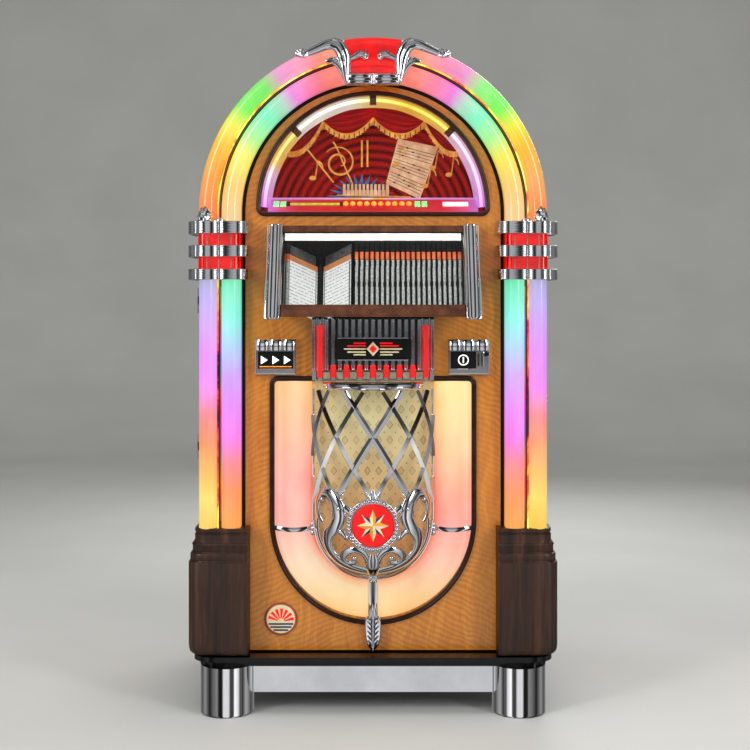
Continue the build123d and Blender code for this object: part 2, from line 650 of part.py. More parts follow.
def make_lower_front():
    outer = u_shape(LOWER_RADIUS + TRIM_WIDTH, LOWER_TOP_Z + TRIM_WIDTH, TRIM_FRONT_Y, PANEL_FRONT_Y)
    trim = outer - u_shape(LOWER_RADIUS, LOWER_TOP_Z, TRIM_FRONT_Y, PANEL_FRONT_Y)
    trim -= block(-FLUTED_HALF - KEY_GAP, FLUTED_HALF + KEY_GAP, TRIM_FRONT_Y, PANEL_FRONT_Y, 740, 770)
    write("lower_trim", trim)
    gap = GRILLE_HALF + 1
    lens = u_shape(LOWER_RADIUS - KEY_GAP, LOWER_TOP_Z - KEY_GAP, -226, -220)
    write("lower_lens", lens - u_shape(gap, LOWER_TOP_Z, -226, -220))
    write("grille_cloth", u_shape(gap - KEY_GAP, LOWER_TOP_Z - KEY_GAP, -225, -222))


def basket(half, bulge):
    """A half-round column that ends in a bowl at its foot."""
    plan = Ellipse(half, bulge) & (Pos(0, -bulge / 2) * Rectangle(2 * half, bulge))
    column = extrude(Pos(0, 0, LOWER_Z) * plan, amount=GRILLE_TOP_Z - LOWER_Z)
    quarter = plan & (Pos(half / 2, -bulge / 2) * Rectangle(half, bulge))
    bowl = revolve(quarter, axis=Axis.Y, revolution_arc=360)
    return Pos(0, PANEL_FRONT_Y, 0) * (column + Pos(0, 0, LOWER_Z) * bowl)


def make_grille():
    hollow = basket(GRILLE_HALF - GRILLE_WALL, GRILLE_BULGE - GRILLE_WALL)
    shell = basket(GRILLE_HALF, GRILLE_BULGE) - hollow
    near = (-18.75, 18.75)
    far = (-37.5, 0, 37.5)
    rows = ((692, (0,)), (658, near), (624, far), (590, near), (556, far))
    half_turn = 16.5
    half_rise = 29.0
    for z, turns in rows:
        for turn in turns:
            x_low = GRILLE_HALF * math.sin(math.radians(turn - half_turn))
            x_mid = GRILLE_HALF * math.sin(math.radians(turn))
            x_high = GRILLE_HALF * math.sin(math.radians(turn + half_turn))
            top = (x_mid, z + half_rise)
            bottom = (x_mid, z - half_rise)
            diamond = Polyline((x_low, z), top, (x_high, z), bottom, close=True)
            shell -= extrude(Plane.XZ * make_face(diamond), amount=400)
    write("grille", shell)


def make_medallion():
    apex = PANEL_FRONT_Y - GRILLE_BULGE
    disc = facing(MEDALLION_RADIUS, apex - 10, apex, z=LOWER_Z)
    write("medallion", disc - facing(MEDALLION_RADIUS - 13, apex - 10, apex - 7, z=LOWER_Z))


def make_pendant_leaf():
    left = [(0, 143), (-13, 150), (-17, 200), (-11, 296)]
    right = [(11, 296), (17, 200), (13, 150)]
    outline = Polyline(*left, *right, close=True)
    leaf = extrude(Plane.XZ * make_face(outline), amount=15)
    write("pendant_leaf", Pos(0, -238, 0) * leaf)


def make_colour_cylinders():
    for name, side in (("left", -1), ("right", 1)):
        x = side * CYLINDER_X
        drum = upright(CYLINDER_RADIUS, 428, 962, x, CYLINDER_Y)
        drum -= upright(CYLINDER_RADIUS - CYLINDER_WALL, 432, 958, x, CYLINDER_Y)
        drum += upright(SPINDLE_RADIUS, 419, 971, x, CYLINDER_Y)
        write(f"colour_cylinder_{name}", drum)


os.makedirs("parts", exist_ok=True)
make_front_feet()
make_rear_feet()
make_front_crossbar()
make_plinth()
make_cabinet_shell()
make_floor_board()
make_back_panel()
make_power_inlet()
make_power_rocker()
make_speaker_baffle()
make_speaker_drivers()
make_mechanism_shelf()
make_changer_chassis()
make_disc_carousel()
make_transfer_arm()
make_amplifier()
make_cash_box()
make_door_hinges()
make_door_frame()
make_door_lock()
make_door_panel()
make_lenses()
make_bubble_tubes()
make_pilasters()
make_collars()
make_crown()
make_dome()
make_rack()
make_rack_housing()
make_title_pages()
make_turning_page()
make_fluted_panel()
make_selector_keys()
make_key_bar()
make_boxes()
make_lower_front()
make_grille()
make_medallion()
make_pendant_leaf()
make_colour_cylinders()
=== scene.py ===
import json
import math
import bmesh
import bpy
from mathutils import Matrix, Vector


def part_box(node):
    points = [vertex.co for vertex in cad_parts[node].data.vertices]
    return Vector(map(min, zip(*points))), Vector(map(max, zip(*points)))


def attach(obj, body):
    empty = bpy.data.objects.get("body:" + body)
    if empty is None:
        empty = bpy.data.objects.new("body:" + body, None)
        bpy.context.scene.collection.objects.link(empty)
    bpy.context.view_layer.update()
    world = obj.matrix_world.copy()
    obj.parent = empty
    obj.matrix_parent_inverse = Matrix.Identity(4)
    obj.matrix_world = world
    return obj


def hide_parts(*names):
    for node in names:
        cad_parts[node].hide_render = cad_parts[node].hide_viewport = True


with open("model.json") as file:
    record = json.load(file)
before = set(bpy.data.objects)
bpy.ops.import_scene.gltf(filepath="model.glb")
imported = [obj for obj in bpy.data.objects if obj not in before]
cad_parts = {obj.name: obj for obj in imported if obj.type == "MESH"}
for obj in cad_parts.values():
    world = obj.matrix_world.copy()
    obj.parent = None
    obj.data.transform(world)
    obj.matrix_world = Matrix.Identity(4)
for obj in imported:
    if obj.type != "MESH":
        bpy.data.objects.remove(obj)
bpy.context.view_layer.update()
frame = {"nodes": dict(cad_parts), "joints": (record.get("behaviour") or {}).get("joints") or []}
NODES = frame["nodes"]

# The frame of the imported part: +Z up, the front faces -Y. Shapes are worked out in millimetres, and
# mesh_piece turns them into metres. Materials, the stage and the lights are in metres.
MM = 0.001


def low(node):
    """Lowest corner of a CAD node, in millimetres."""
    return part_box(node)[0] / MM


def high(node):
    """Highest corner of a CAD node, in millimetres."""
    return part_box(node)[1] / MM


# Places that the pieces share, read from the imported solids
PANEL_Y = low("door_panel").y
PANEL_HALF = high("door_panel").x
SPRING_Z = high("door_panel").z - PANEL_HALF
TRIM_Y = low("lower_trim").y
LOWER_HALF = high("lower_trim").x
LOWER_Z = low("lower_trim").z + LOWER_HALF
GRILLE_HALF = high("grille").x
GRILLE_BULGE = high("grille").y - low("grille").y
GRILLE_TOP = high("grille").z
DOME_R = high("dome_glass").x
DOME_Z = high("dome_glass").z - DOME_R
BACKDROP_Y = high("dome_interior").y - 4
LEAN = math.radians(25.0)
FRONT = (0, -1, 0)
SIDES = ((-1, "left"), (1, "right"))


# ---------------------------------------------------------------- mesh helpers


def mesh_piece(name, verts, faces, material, body, smooth):
    """A mesh object, given in millimetres, that rides a body and wears one material."""
    mesh = bpy.data.meshes.new(name)
    mesh.from_pydata([[c * MM for c in v] for v in verts], [], faces)
    mesh.validate()
    mesh.update()
    piece = bpy.data.objects.new(name, mesh)
    bpy.context.scene.collection.objects.link(piece)
    mesh.materials.append(material)
    for polygon in mesh.polygons:
        polygon.use_smooth = smooth
    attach(piece, body)
    return piece


def grid_faces(rows, columns, close_rows=False, close_columns=False, offset=0):
    """Quads between neighbouring points of a rows-by-columns grid."""
    faces = []
    for r in range(rows if close_rows else rows - 1):
        for c in range(columns if close_columns else columns - 1):
            a = r * columns + c
            b = r * columns + (c + 1) % columns
            d = ((r + 1) % rows) * columns + c
            e = ((r + 1) % rows) * columns + (c + 1) % columns
            faces.append((offset + a, offset + b, offset + e, offset + d))
    return faces


class Pile:
    """Gathers several closed shapes into one mesh."""

    def __init__(self):
        self.verts = []
        self.faces = []

    def grid(self, points, close_rows=False, close_columns=False, cap=False):
        """Add a sheet of points, rows by columns; cap closes the first and last rows."""
        rows, columns = len(points), len(points[0])
        start = len(self.verts)
        self.verts += [tuple(p) for row in points for p in row]
        self.faces += grid_faces(rows, columns, close_rows, close_columns, start)
        if cap:
            self.faces.append(tuple(start + c for c in reversed(range(columns))))
            self.faces.append(tuple(start + (rows - 1) * columns + c for c in range(columns)))
        return self

    def solid(self, rings):
        """Add a closed body from its rings, first to last."""
        return self.grid(rings, close_columns=True, cap=True)

    def tube(self, path, radius, sides=10, closed=False, squash=1.0, up=None):
        """Sweep a circle, or an ellipse, along a path; radius is one number or one per point."""
        path = [Vector(p) for p in path]
        count = len(path)
        radii = radius if hasattr(radius, "__len__") else [radius] * count
        rows = []
        side = None
        for i, here in enumerate(path):
            ahead = path[(i + 1) % count] if closed or i < count - 1 else here
            behind = path[i - 1] if closed or i > 0 else here
            along = (ahead - behind).normalized()
            if up is not None:
                side = along.cross(Vector(up)).normalized()
            elif side is None:
                guess = Vector((0, 0, 1)) if abs(along.z) < 0.9 else Vector((1, 0, 0))
                side = along.cross(guess).normalized()
            else:
                side = (side - along * side.dot(along)).normalized()
            over = side.cross(along)
            turn = [math.tau * k / sides for k in range(sides)]
            rows.append([here + radii[i] * (side * math.cos(a) + over * math.sin(a) * squash) for a in turn])
        return self.grid(rows, close_rows=closed, close_columns=True, cap=not closed)

    def lathe(self, profile, centre, sides):
        """Turn a profile of (radius, distance back) round an axis through centre that points forward."""
        cx, cy, cz = centre
        rows = []
        for radius, along in profile:
            angles = [math.tau * k / sides for k in range(sides)]
            rows.append([(cx + radius * math.cos(a), cy + along, cz + radius * math.sin(a)) for a in angles])
        return self.solid(rows)

    def ball(self, centre, radius, stretch=(1, 1, 1), rings=8, sides=14):
        """A round or stretched ball."""
        rows = []
        for r in range(rings + 1):
            polar = math.pi * (r + 0.02) / (rings + 0.04)
            row = []
            for k in range(sides):
                a = math.tau * k / sides
                unit = (math.sin(polar) * math.cos(a), math.sin(polar) * math.sin(a), math.cos(polar))
                row.append(tuple(centre[i] + radius * stretch[i] * unit[i] for i in range(3)))
            rows.append(row)
        return self.solid(rows)

    def slab(self, outline, y_front, y_back, edge=0.0):
        """A plate between two depths from an (x, z) outline, its front edge eased by edge."""
        mx = sum(x for x, _ in outline) / len(outline)
        mz = sum(z for _, z in outline) / len(outline)
        pull = 1 - edge / max(math.hypot(x - mx, z - mz) for x, z in outline)
        eased = [(mx + (x - mx) * pull, mz + (z - mz) * pull) for x, z in outline]
        rows = [
            [(x, y_back, z) for x, z in outline],
            [(x, y_front + edge, z) for x, z in outline],
            [(x, y_front, z) for x, z in eased],
        ]
        return self.solid(rows)

    def brick(self, x0, x1, y0, y1, z0, z1, edge=0.6):
        """A box with eased front edges."""
        rows = []
        for y, e in ((y1, 0), (y0 + edge, 0), (y0, edge)):
            rows.append([(x0 + e, y, z0 + e), (x1 - e, y, z0 + e), (x1 - e, y, z1 - e), (x0 + e, y, z1 - e)])
        return self.solid(rows)

    def build(self, name, material, slot, body="front_door", smooth=True, degrees=35):
        """Make the mesh object; edges sharper than degrees stay sharp."""
        piece = mesh_piece(name, self.verts, self.faces, material, body, smooth)
        tidy_normals(piece)
        if smooth:
            piece.data.set_sharp_from_angle(angle=math.radians(degrees))
        return piece


def tidy_normals(piece):
    """Point every face outwards."""
    work = bmesh.new()
    work.from_mesh(piece.data)
    bmesh.ops.recalc_face_normals(work, faces=work.faces)
    work.to_mesh(piece.data)
    work.free()


def smooth_path(points, steps):
    """A Catmull-Rom curve through the points."""
    pts = [Vector(p) for p in points]
    out = []
    for i in range(len(pts) - 1):
        p0 = pts[max(i - 1, 0)]
        p1 = pts[i]
        p2 = pts[i + 1]
        p3 = pts[min(i + 2, len(pts) - 1)]
        for s in range(steps):
            t = s / steps
            a = 2 * p1
            b = (p2 - p0) * t
            c = (2 * p0 - 5 * p1 + 4 * p2 - p3) * t * t
            d = (3 * p1 - p0 - 3 * p2 + p3) * t * t * t
            out.append((a + b + c + d) / 2)
    return out + [pts[-1]]


def even_widths(widths, count):
    """As many widths as a path has points, between the ones given."""
    out = []
    for k in range(count):
        spot = k / (count - 1) * (len(widths) - 1)
        i = min(int(spot), len(widths) - 2)
        out.append(widths[i] + (widths[i + 1] - widths[i]) * (spot - i))
    return out


def arc_points(cx, cz, radius, start, end, count):
    """Points of an arc in the front plane, angles in degrees from +X."""
    angles = [math.radians(start + (end - start) * i / (count - 1)) for i in range(count)]
    return [(cx + radius * math.cos(a), cz + radius * math.sin(a)) for a in angles]


# ---------------------------------------------------------------- material helpers


class Paint:
    """Builds one procedural material, node by node."""

    def __init__(self, name, **fixed):
        self.material = bpy.data.materials.new(name)
        self.material.use_nodes = True
        self.tree = self.material.node_tree
        self.shader = self.tree.nodes["Principled BSDF"]
        for socket, value in fixed.items():
            self.shader.inputs[socket.replace("_", " ")].default_value = value

    def node(self, kind, inputs=None, **settings):
        made = self.tree.nodes.new(kind)
        for key, value in settings.items():
            setattr(made, key, value)
        for socket, value in (inputs or {}).items():
            self.put(made.inputs[socket], value)
        return made

    def put(self, socket, value):
        """Link a socket to another node's output, or give it a number."""
        if isinstance(value, bpy.types.NodeSocket):
            self.tree.links.new(value, socket)
        elif isinstance(value, bpy.types.Node):
            self.tree.links.new(value.outputs[0], socket)
        else:
            socket.default_value = value

    def set(self, **inputs):
        for socket, value in inputs.items():
            self.put(self.shader.inputs[socket.replace("_", " ")], value)
        return self

    def place(self, scale=(1, 1, 1)):
        """Object coordinates, scaled."""
        coords = self.node("ShaderNodeTexCoord")
        return self.node("ShaderNodeMapping", {0: coords.outputs["Object"], "Scale": scale})

    def axes(self):
        """The x, y and z of the object coordinates."""
        source = self.node("ShaderNodeTexCoord").outputs["Object"]
        return self.node("ShaderNodeSeparateXYZ", {0: source}).outputs

    def noise(self, vector, scale, detail=4.0, rough=0.5, distort=0.0):
        inputs = {"Vector": vector, "Scale": scale, "Detail": detail}
        inputs.update({"Roughness": rough, "Distortion": distort})
        return self.node("ShaderNodeTexNoise", inputs).outputs["Fac"]

    def calc(self, operation, a, b=0.0):
        return self.node("ShaderNodeMath", {0: a, 1: b}, operation=operation).outputs[0]

    def times(self, a, b):
        return self.calc("MULTIPLY", a, b)

    def plus(self, a, b):
        return self.calc("ADD", a, b)

    def minus(self, a, b):
        return self.calc("SUBTRACT", a, b)

    def size(self, a):
        return self.calc("ABSOLUTE", a)

    def distance(self, a, b):
        return self.calc("SQRT", self.plus(self.times(a, a), self.times(b, b)))

    def span(self, value, from_low, from_high, to_low=0.0, to_high=1.0):
        inputs = {"Value": value, 1: from_low, 2: from_high, 3: to_low, 4: to_high}
        return self.node("ShaderNodeMapRange", inputs).outputs[0]

    def ramp(self, factor, stops):
        made = self.node("ShaderNodeValToRGB", {0: factor})
        elements = made.color_ramp.elements
        while len(elements) < len(stops):
            elements.new(0.5)
        for element, (place, colour) in zip(elements, stops):
            element.position = place
            element.color = (*colour, 1)
        return made.outputs[0]

    def mottle(self, factor, dark, light):
        """Two colours, unevenly spread."""
        return self.ramp(factor, [(0.3, dark), (0.7, light)])

    def mix(self, factor, a, b):
        made = self.node("ShaderNodeMix", data_type="RGBA")
        self.put(made.inputs[0], factor)
        self.put(made.inputs[6], a if isinstance(a, bpy.types.NodeSocket) else (*a, 1))
        self.put(made.inputs[7], b if isinstance(b, bpy.types.NodeSocket) else (*b, 1))
        return made.outputs[2]

    def glow(self, colour, cloud, dimmest, brightest, dark=0.0):
        """Light of its own, a little uneven, over a base that is darkened by dark."""
        base = self.mix(dark, colour, (0, 0, 0)) if dark else colour
        self.set(Base_Color=base, Emission_Color=colour)
        self.set(Emission_Strength=self.span(cloud, 0.3, 0.7, dimmest, brightest))

    def bump(self, height, distance, strength):
        made = self.node("ShaderNodeBump", {"Height": height, "Distance": distance, "Strength": strength})
        self.put(self.shader.inputs["Normal"], made.outputs[0])
        return self


def srgb(r, g, b):
    """A linear colour from 0-255 display values."""
    return tuple(((c / 255 + 0.055) / 1.055) ** 2.4 if c > 10 else c / 255 / 12.92 for c in (r, g, b))


def shades(stops):
    """Stops of a colour ramp from (place, red, green, blue)."""
    return [(place, srgb(r, g, b)) for place, r, g, b in stops]


def chrome():
    """Polished chrome, faintly hazy and specked."""
    p = Paint("chrome", Metallic=1.0)
    haze = p.noise(p.place(), 14.0)
    specks = p.noise(p.place(), 260.0, 2.0)
    p.set(Base_Color=p.mottle(haze, (0.66, 0.67, 0.70), (0.80, 0.80, 0.83)))
    p.set(Roughness=p.span(specks, 0.3, 0.7, 0.03, 0.09))
    return p.bump(haze, 0.4 * MM, 0.15).material


def plain(name, dark, light, rough, metal=0.0, bump=0.05, coat=0.0, shine=0.5):
    """A moulded or painted finish: slight mottling of colour, gloss and surface."""
    p = Paint(name, Metallic=metal, Coat_Weight=coat, Coat_Roughness=0.05, Specular_IOR_Level=shine)
    broad = p.noise(p.place(), 40.0)
    fine = p.noise(p.place(), 720.0, 3.0)
    p.set(Base_Color=p.mottle(broad, dark, light))
    p.set(Roughness=p.span(fine, 0.3, 0.7, rough * 0.8, rough * 1.25))
    return p.bump(fine, bump * MM, 0.4).material


def figured_wood():
    """Lacquered veneer: book-matched flame low in the middle, fine cross ripple elsewhere."""
    p = Paint("figured_wood", Coat_Weight=0.6, Coat_Roughness=0.06, Roughness=0.32)
    x, _, z = p.axes()
    fold = p.size(x)
    drift = p.noise(p.place(scale=(3, 1, 1.2)), 3.0, 3.0)
    bend = p.times(drift, 0.22)
    matched = p.node("ShaderNodeCombineXYZ", {0: p.plus(fold, bend), 1: 0.0, 2: z})
    stretch = p.node("ShaderNodeMapping", {0: matched, "Scale": (30, 1, 1.6)})
    grain = p.noise(stretch, 2.2, 8.0, 0.62, 0.4)
    slope = p.plus(p.times(z, 44.0), p.times(fold, 20.0))
    wobble = p.times(p.noise(p.place(scale=(8, 1, 9)), 1.6, 4.0), 20.0)
    ripple = p.calc("SINE", p.plus(p.times(slope, 11.0), wobble))
    patch = p.span(p.noise(p.place(scale=(2.2, 1, 1.2)), 4.0, 2.0), 0.35, 0.75, 0.16, 0.60)
    figure = p.times(p.plus(p.times(ripple, 0.5), 0.5), patch)
    colours = shades([
        (0.30, 204, 120, 28), (0.48, 216, 134, 36), (0.62, 226, 146, 44), (0.80, 234, 158, 58),
    ])
    base = p.ramp(grain, colours)
    shade = p.mix(figure, base, srgb(168, 86, 14))
    pores = p.noise(p.place(scale=(700, 1, 26)), 1.0, 2.0)
    p.set(Base_Color=p.mix(p.span(pores, 0.60, 0.74, 0.0, 0.35), shade, srgb(110, 56, 12)))
    return p.bump(pores, 0.15 * MM, 0.2).material


def side_wood(name, dark, middle, light, gloss=0.35, coat=0.4):
    """Veneer with straight upright grain."""
    p = Paint(name, Coat_Weight=coat, Coat_Roughness=0.08)
    scale = (26, 26, 1.4)
    grain = p.noise(p.place(scale=scale), 1.6, 9.0, 0.64, 0.7)
    fine = p.noise(p.place(scale=tuple(12 * s for s in scale)), 1.0, 3.0)
    base = p.ramp(grain, [(0.32, dark), (0.52, middle), (0.70, light)])
    p.set(Base_Color=p.mix(p.span(fine, 0.55, 0.75, 0.0, 0.45), base, dark))
    p.set(Roughness=p.span(fine, 0.3, 0.7, gloss * 0.8, gloss * 1.2))
    return p.bump(fine, 0.2 * MM, 0.3).material


# Colours of the lit lenses, up the columns from the foot, and round the arch from its spring to its crown
OUTER_COLUMN = shades([
    (0.00, 255, 205, 80), (0.13, 255, 225, 105), (0.23, 255, 195, 95), (0.35, 255, 156, 104),
    (0.46, 255, 145, 150), (0.57, 250, 150, 250), (0.72, 234, 150, 255), (0.90, 192, 168, 250),
    (1.00, 170, 170, 215),
])
INNER_COLUMN = shades([
    (0.00, 255, 160, 50), (0.16, 255, 145, 84), (0.27, 255, 138, 150), (0.37, 255, 132, 240),
    (0.50, 236, 145, 255), (0.62, 212, 168, 255), (0.72, 184, 212, 255), (0.84, 144, 252, 236),
    (1.00, 108, 236, 180),
])
OUTER_ARCH = shades([
    (0.00, 250, 120, 50), (0.16, 255, 160, 60), (0.31, 255, 196, 40), (0.40, 244, 240, 60),
    (0.48, 120, 250, 80), (0.60, 130, 240, 110), (0.68, 236, 148, 204), (0.78, 252, 146, 180),
    (0.86, 255, 150, 128), (1.00, 255, 156, 100),
])
INNER_ARCH = shades([
    (0.00, 255, 196, 130), (0.16, 255, 206, 110), (0.30, 250, 240, 90), (0.40, 176, 252, 150),
    (0.52, 120, 246, 190), (0.61, 170, 220, 190), (0.68, 236, 126, 220), (0.76, 254, 122, 170),
    (0.86, 255, 130, 118), (1.00, 255, 132, 110),
])


def lens_colour(p, column, arch, column_low, column_high):
    """Colour up the column by height, and round the arch by angle, the same on both sides."""
    x, _, z = p.axes()
    up = p.ramp(p.span(z, column_low, column_high), column)
    rise = p.minus(z, SPRING_Z * MM)
    angle = p.calc("ARCTAN2", rise, p.size(x))
    around = p.ramp(p.span(angle, -0.04, math.pi / 2 - 0.12), arch)
    return p.mix(p.calc("GREATER_THAN", z, (column_high + SPRING_Z * MM) / 2), up, around)


def lit_lens(name, column, arch, strength):
    """Lit lens of a column and its arch, with a faint cloudiness."""
    p = Paint(name, Roughness=0.26, Coat_Weight=0.4, Coat_Roughness=0.08)
    colour = lens_colour(p, column, arch, low("outer_lenses").z * MM, low("collar_rings").z * MM)
    cloud = p.noise(p.place(scale=(6, 6, 2)), 3.0, 2.0)
    glow = p.mix(p.span(cloud, 0.35, 0.7, 0.0, 0.10), colour, (1.0, 0.96, 0.92))
    p.glow(glow, cloud, strength * 0.9, strength * 1.05, 0.80)
    return p.bump(cloud, 0.3 * MM, 0.1).material


def translucent_red():
    """Clear red plastic with a lamp behind it."""
    p = Paint("translucent_red", Roughness=0.15, Coat_Weight=0.5, Coat_Roughness=0.03)
    cloud = p.noise(p.place(scale=(1, 1, 1.5)), 24.0, 3.0)
    colour = p.mottle(cloud, srgb(216, 0, 2), srgb(246, 8, 8))
    p.glow(colour, cloud, 0.62, 0.82, 0.6)
    return p.bump(cloud, 0.2 * MM, 0.1).material


def bubble_tube():
    """Liquid tube: the outer half glows in streaks of red, orange and yellow; the inner half is dark."""
    p = Paint("bubble_tube", Roughness=0.1, Coat_Weight=0.6, Coat_Roughness=0.02)
    x, _, z = p.axes()
    rise = p.calc("MAXIMUM", p.minus(z, SPRING_Z * MM), 0.0)
    reach = p.distance(x, rise)
    middle = (high("bubble_tubes").x - 4) * MM
    streak = p.noise(p.place(scale=(1, 1, 0.4)), 16.0, 4.0, 0.7, 1.0)
    height = p.span(z, low("bubble_tubes").z * MM, low("collar_rings").z * MM)
    warm = p.size(p.minus(height, 0.55))
    streak = p.plus(streak, p.times(p.minus(warm, 0.22), 0.5))
    colour = p.ramp(streak, shades([
        (0.34, 70, 8, 6), (0.44, 214, 20, 14), (0.54, 246, 90, 30), (0.64, 252, 190, 40),
        (0.74, 255, 236, 110),
    ]))
    side = p.span(reach, middle - 1.2 * MM, middle + 0.2 * MM)
    colour = p.mix(side, srgb(26, 6, 6), colour)
    p.set(Base_Color=p.mix(0.6, colour, (0, 0, 0)), Emission_Color=colour)
    p.set(Emission_Strength=p.span(streak, 0.35, 0.7, 0.8, 1.4))
    return p.bump(streak, 0.3 * MM, 0.3).material


def dome_tube(name, strength, dark):
    """Frosted light tubes: white high on the left, yellow high on the right, violet low down."""
    p = Paint(name, Roughness=0.3)
    x, _, z = p.axes()
    angle = p.calc("ARCTAN2", p.minus(z, DOME_Z * MM), x)
    cloud = p.noise(p.place(), 30.0, 2.0)
    colours = shades([
        (0.00, 226, 150, 250), (0.12, 250, 200, 250), (0.24, 250, 214, 236), (0.26, 255, 214, 100),
        (0.40, 255, 200, 70), (0.49, 255, 220, 120), (0.51, 255, 232, 140), (0.58, 255, 250, 236),
        (0.74, 255, 252, 240), (0.76, 255, 222, 120), (0.86, 255, 200, 110), (0.90, 252, 206, 240),
        (1.00, 230, 140, 250),
    ])
    colour = p.ramp(p.span(angle, 0.0, math.pi), colours)
    p.glow(colour, cloud, strength * 0.9, strength * 1.1, dark)
    return p.bump(cloud, 0.2 * MM, 0.1).material


def lower_glow():
    """The U lens: peach and pink on the left, yellower on the right, amber at the foot, hot by the grille."""
    p = Paint("lower_glow", Roughness=0.22, Coat_Weight=0.5, Coat_Roughness=0.1)
    x, _, z = p.axes()
    fall = p.calc("MINIMUM", p.minus(z, LOWER_Z * MM), 0.0)
    reach = p.distance(x, fall)
    across = p.span(reach, GRILLE_HALF * MM, (LOWER_HALF - 10) * MM)
    height = p.span(z, (LOWER_Z - LOWER_HALF) * MM, GRILLE_TOP * MM)
    left = p.ramp(height, shades([
        (0.00, 254, 196, 116), (0.12, 240, 208, 152), (0.26, 238, 206, 176), (0.42, 252, 176, 164),
        (0.62, 253, 172, 160), (0.85, 253, 182, 144), (1.00, 254, 196, 140),
    ]))
    right = p.ramp(height, shades([
        (0.00, 254, 196, 116), (0.12, 240, 200, 142), (0.26, 246, 184, 160), (0.42, 254, 160, 150),
        (0.60, 254, 180, 146), (0.85, 254, 214, 150), (1.00, 254, 230, 160),
    ]))
    body = p.mix(p.span(x, -0.05, 0.05), left, right)
    edge = p.ramp(height, shades([
        (0.0, 250, 140, 30), (0.3, 244, 84, 44), (0.6, 240, 76, 60), (1.0, 250, 170, 60),
    ]))
    heat = [(0.0, 1.0), (0.10, 0.35), (0.26, 0.0), (1.0, 0.08)]
    hot = p.ramp(across, [(spot, (level, level, level)) for spot, level in heat])
    cloud = p.noise(p.place(scale=(2, 2, 1)), 7.0, 3.0)
    colour = p.mix(hot, body, edge)
    colour = p.mix(p.span(cloud, 0.35, 0.7, 0.0, 0.16), colour, srgb(255, 240, 216))
    p.glow(colour, cloud, 0.86, 0.98, 0.75)
    return p.bump(cloud, 0.3 * MM, 0.1).material


def backdrop_print():
    """Printed backdrop: rings like the grooves of a record, over maroon, glowing with painted light that
    stands for the window's light tubes.
    """
    p = Paint("backdrop_print", Roughness=0.8, Specular_IOR_Level=0.1)
    x, _, z = p.axes()
    rise = p.minus(z, (DOME_Z - 30) * MM)
    reach = p.distance(x, rise)
    wave = p.calc("SINE", p.times(reach, 330.0))
    cloud = p.noise(p.place(), 9.0, 3.0)
    reds = shades([(0.0, 30, 2, 0), (0.5, 128, 0, 0), (1.0, 150, 24, 8)])
    rings = p.ramp(p.span(wave, -1, 1), reds)
    colour = p.mix(p.span(cloud, 0.3, 0.7, 0.0, 0.55), rings, srgb(130, 0, 0))
    # Painted light: the print glows as if lit by the window's light tubes.
    p.glow(colour, cloud, 0.40, 0.60)
    return p.bump(wave, 0.1 * MM, 0.2).material


def lit_print(name, dark, light, strength, scale=60.0):
    """A small printed or lit detail with a faint mottle and a glow: light on the lamps, painted light on
    printed, enamelled and card pieces.
    """
    p = Paint(name, Roughness=0.4)
    cloud = p.noise(p.place(), scale, 2.0)
    colour = p.mottle(cloud, dark, light)
    p.glow(colour, cloud, strength * 0.8, strength * 1.2)
    return p.bump(cloud, 0.1 * MM, 0.1).material


def curtain_cloth():
    """Red woven cloth, a little lit from the window's lamps."""
    p = Paint("curtain_cloth", Roughness=0.85, Sheen_Weight=0.05, Specular_IOR_Level=0.15)
    weave = p.noise(p.place(), 900.0, 2.0)
    cloud = p.noise(p.place(), 22.0, 3.0)
    colour = p.mottle(cloud, srgb(170, 0, 2), srgb(206, 4, 4))
    p.glow(colour, cloud, 0.04, 0.08)
    return p.bump(weave, 0.15 * MM, 0.3).material


def grille_cloth():
    """Gold speaker cloth with small woven diamonds and dots; painted light from the U lens makes it warmer low
    down and at the sides, and it glows faintly.
    """
    p = Paint("grille_cloth", Roughness=0.75, Sheen_Weight=0.3)
    x, _, z = p.axes()

    def cell(value, pitch, shift):
        share = p.plus(p.times(value, 1 / pitch), shift)
        return p.size(p.minus(p.calc("FRACT", share), 0.5))

    def diamond(shift):
        across = p.times(cell(x, 25.5 * MM, shift), 25.5)
        up = p.times(cell(z, 35.0 * MM, shift), 35.0 * 0.72)
        return p.plus(across, up)

    near = diamond(0.0)
    outline = p.span(p.size(p.minus(near, 6.6)), 0.5, 1.3, 1.0, 0.0)
    inner = p.span(p.size(p.minus(near, 2.8)), 0.3, 1.0, 0.8, 0.0)
    dot = p.span(diamond(0.5), 1.4, 2.2, 0.9, 0.0)
    motif = p.calc("MAXIMUM", p.calc("MAXIMUM", outline, inner), dot)
    weave = p.noise(p.place(scale=(1, 1, 0.6)), 1400.0, 2.0)
    cloud = p.noise(p.place(), 16.0, 2.0)
    # Painted light: an orange cast low down and at the sides, where the glowing U lens lights the cloth.
    lens_light_low = p.span(z, (LOWER_Z - 60) * MM, (LOWER_Z + 230) * MM, 0.75, 0.0)
    edge = p.span(p.size(x), 80 * MM, GRILLE_HALF * MM, 0.0, 0.5)
    warm = p.calc("MAXIMUM", lens_light_low, edge)
    ground = p.mix(warm, srgb(238, 226, 172), srgb(224, 140, 66))
    strength = p.times(motif, p.span(cloud, 0.35, 0.65, 0.35, 0.85))
    colour = p.mix(strength, ground, srgb(122, 88, 36))
    colour = p.mix(p.span(weave, 0.35, 0.65, 0.0, 0.28), colour, srgb(120, 96, 56))
    # Painted light: a faint glow over the whole cloth.
    p.glow(colour, weave, 0.12, 0.24)
    return p.bump(weave, 0.3 * MM, 0.5).material


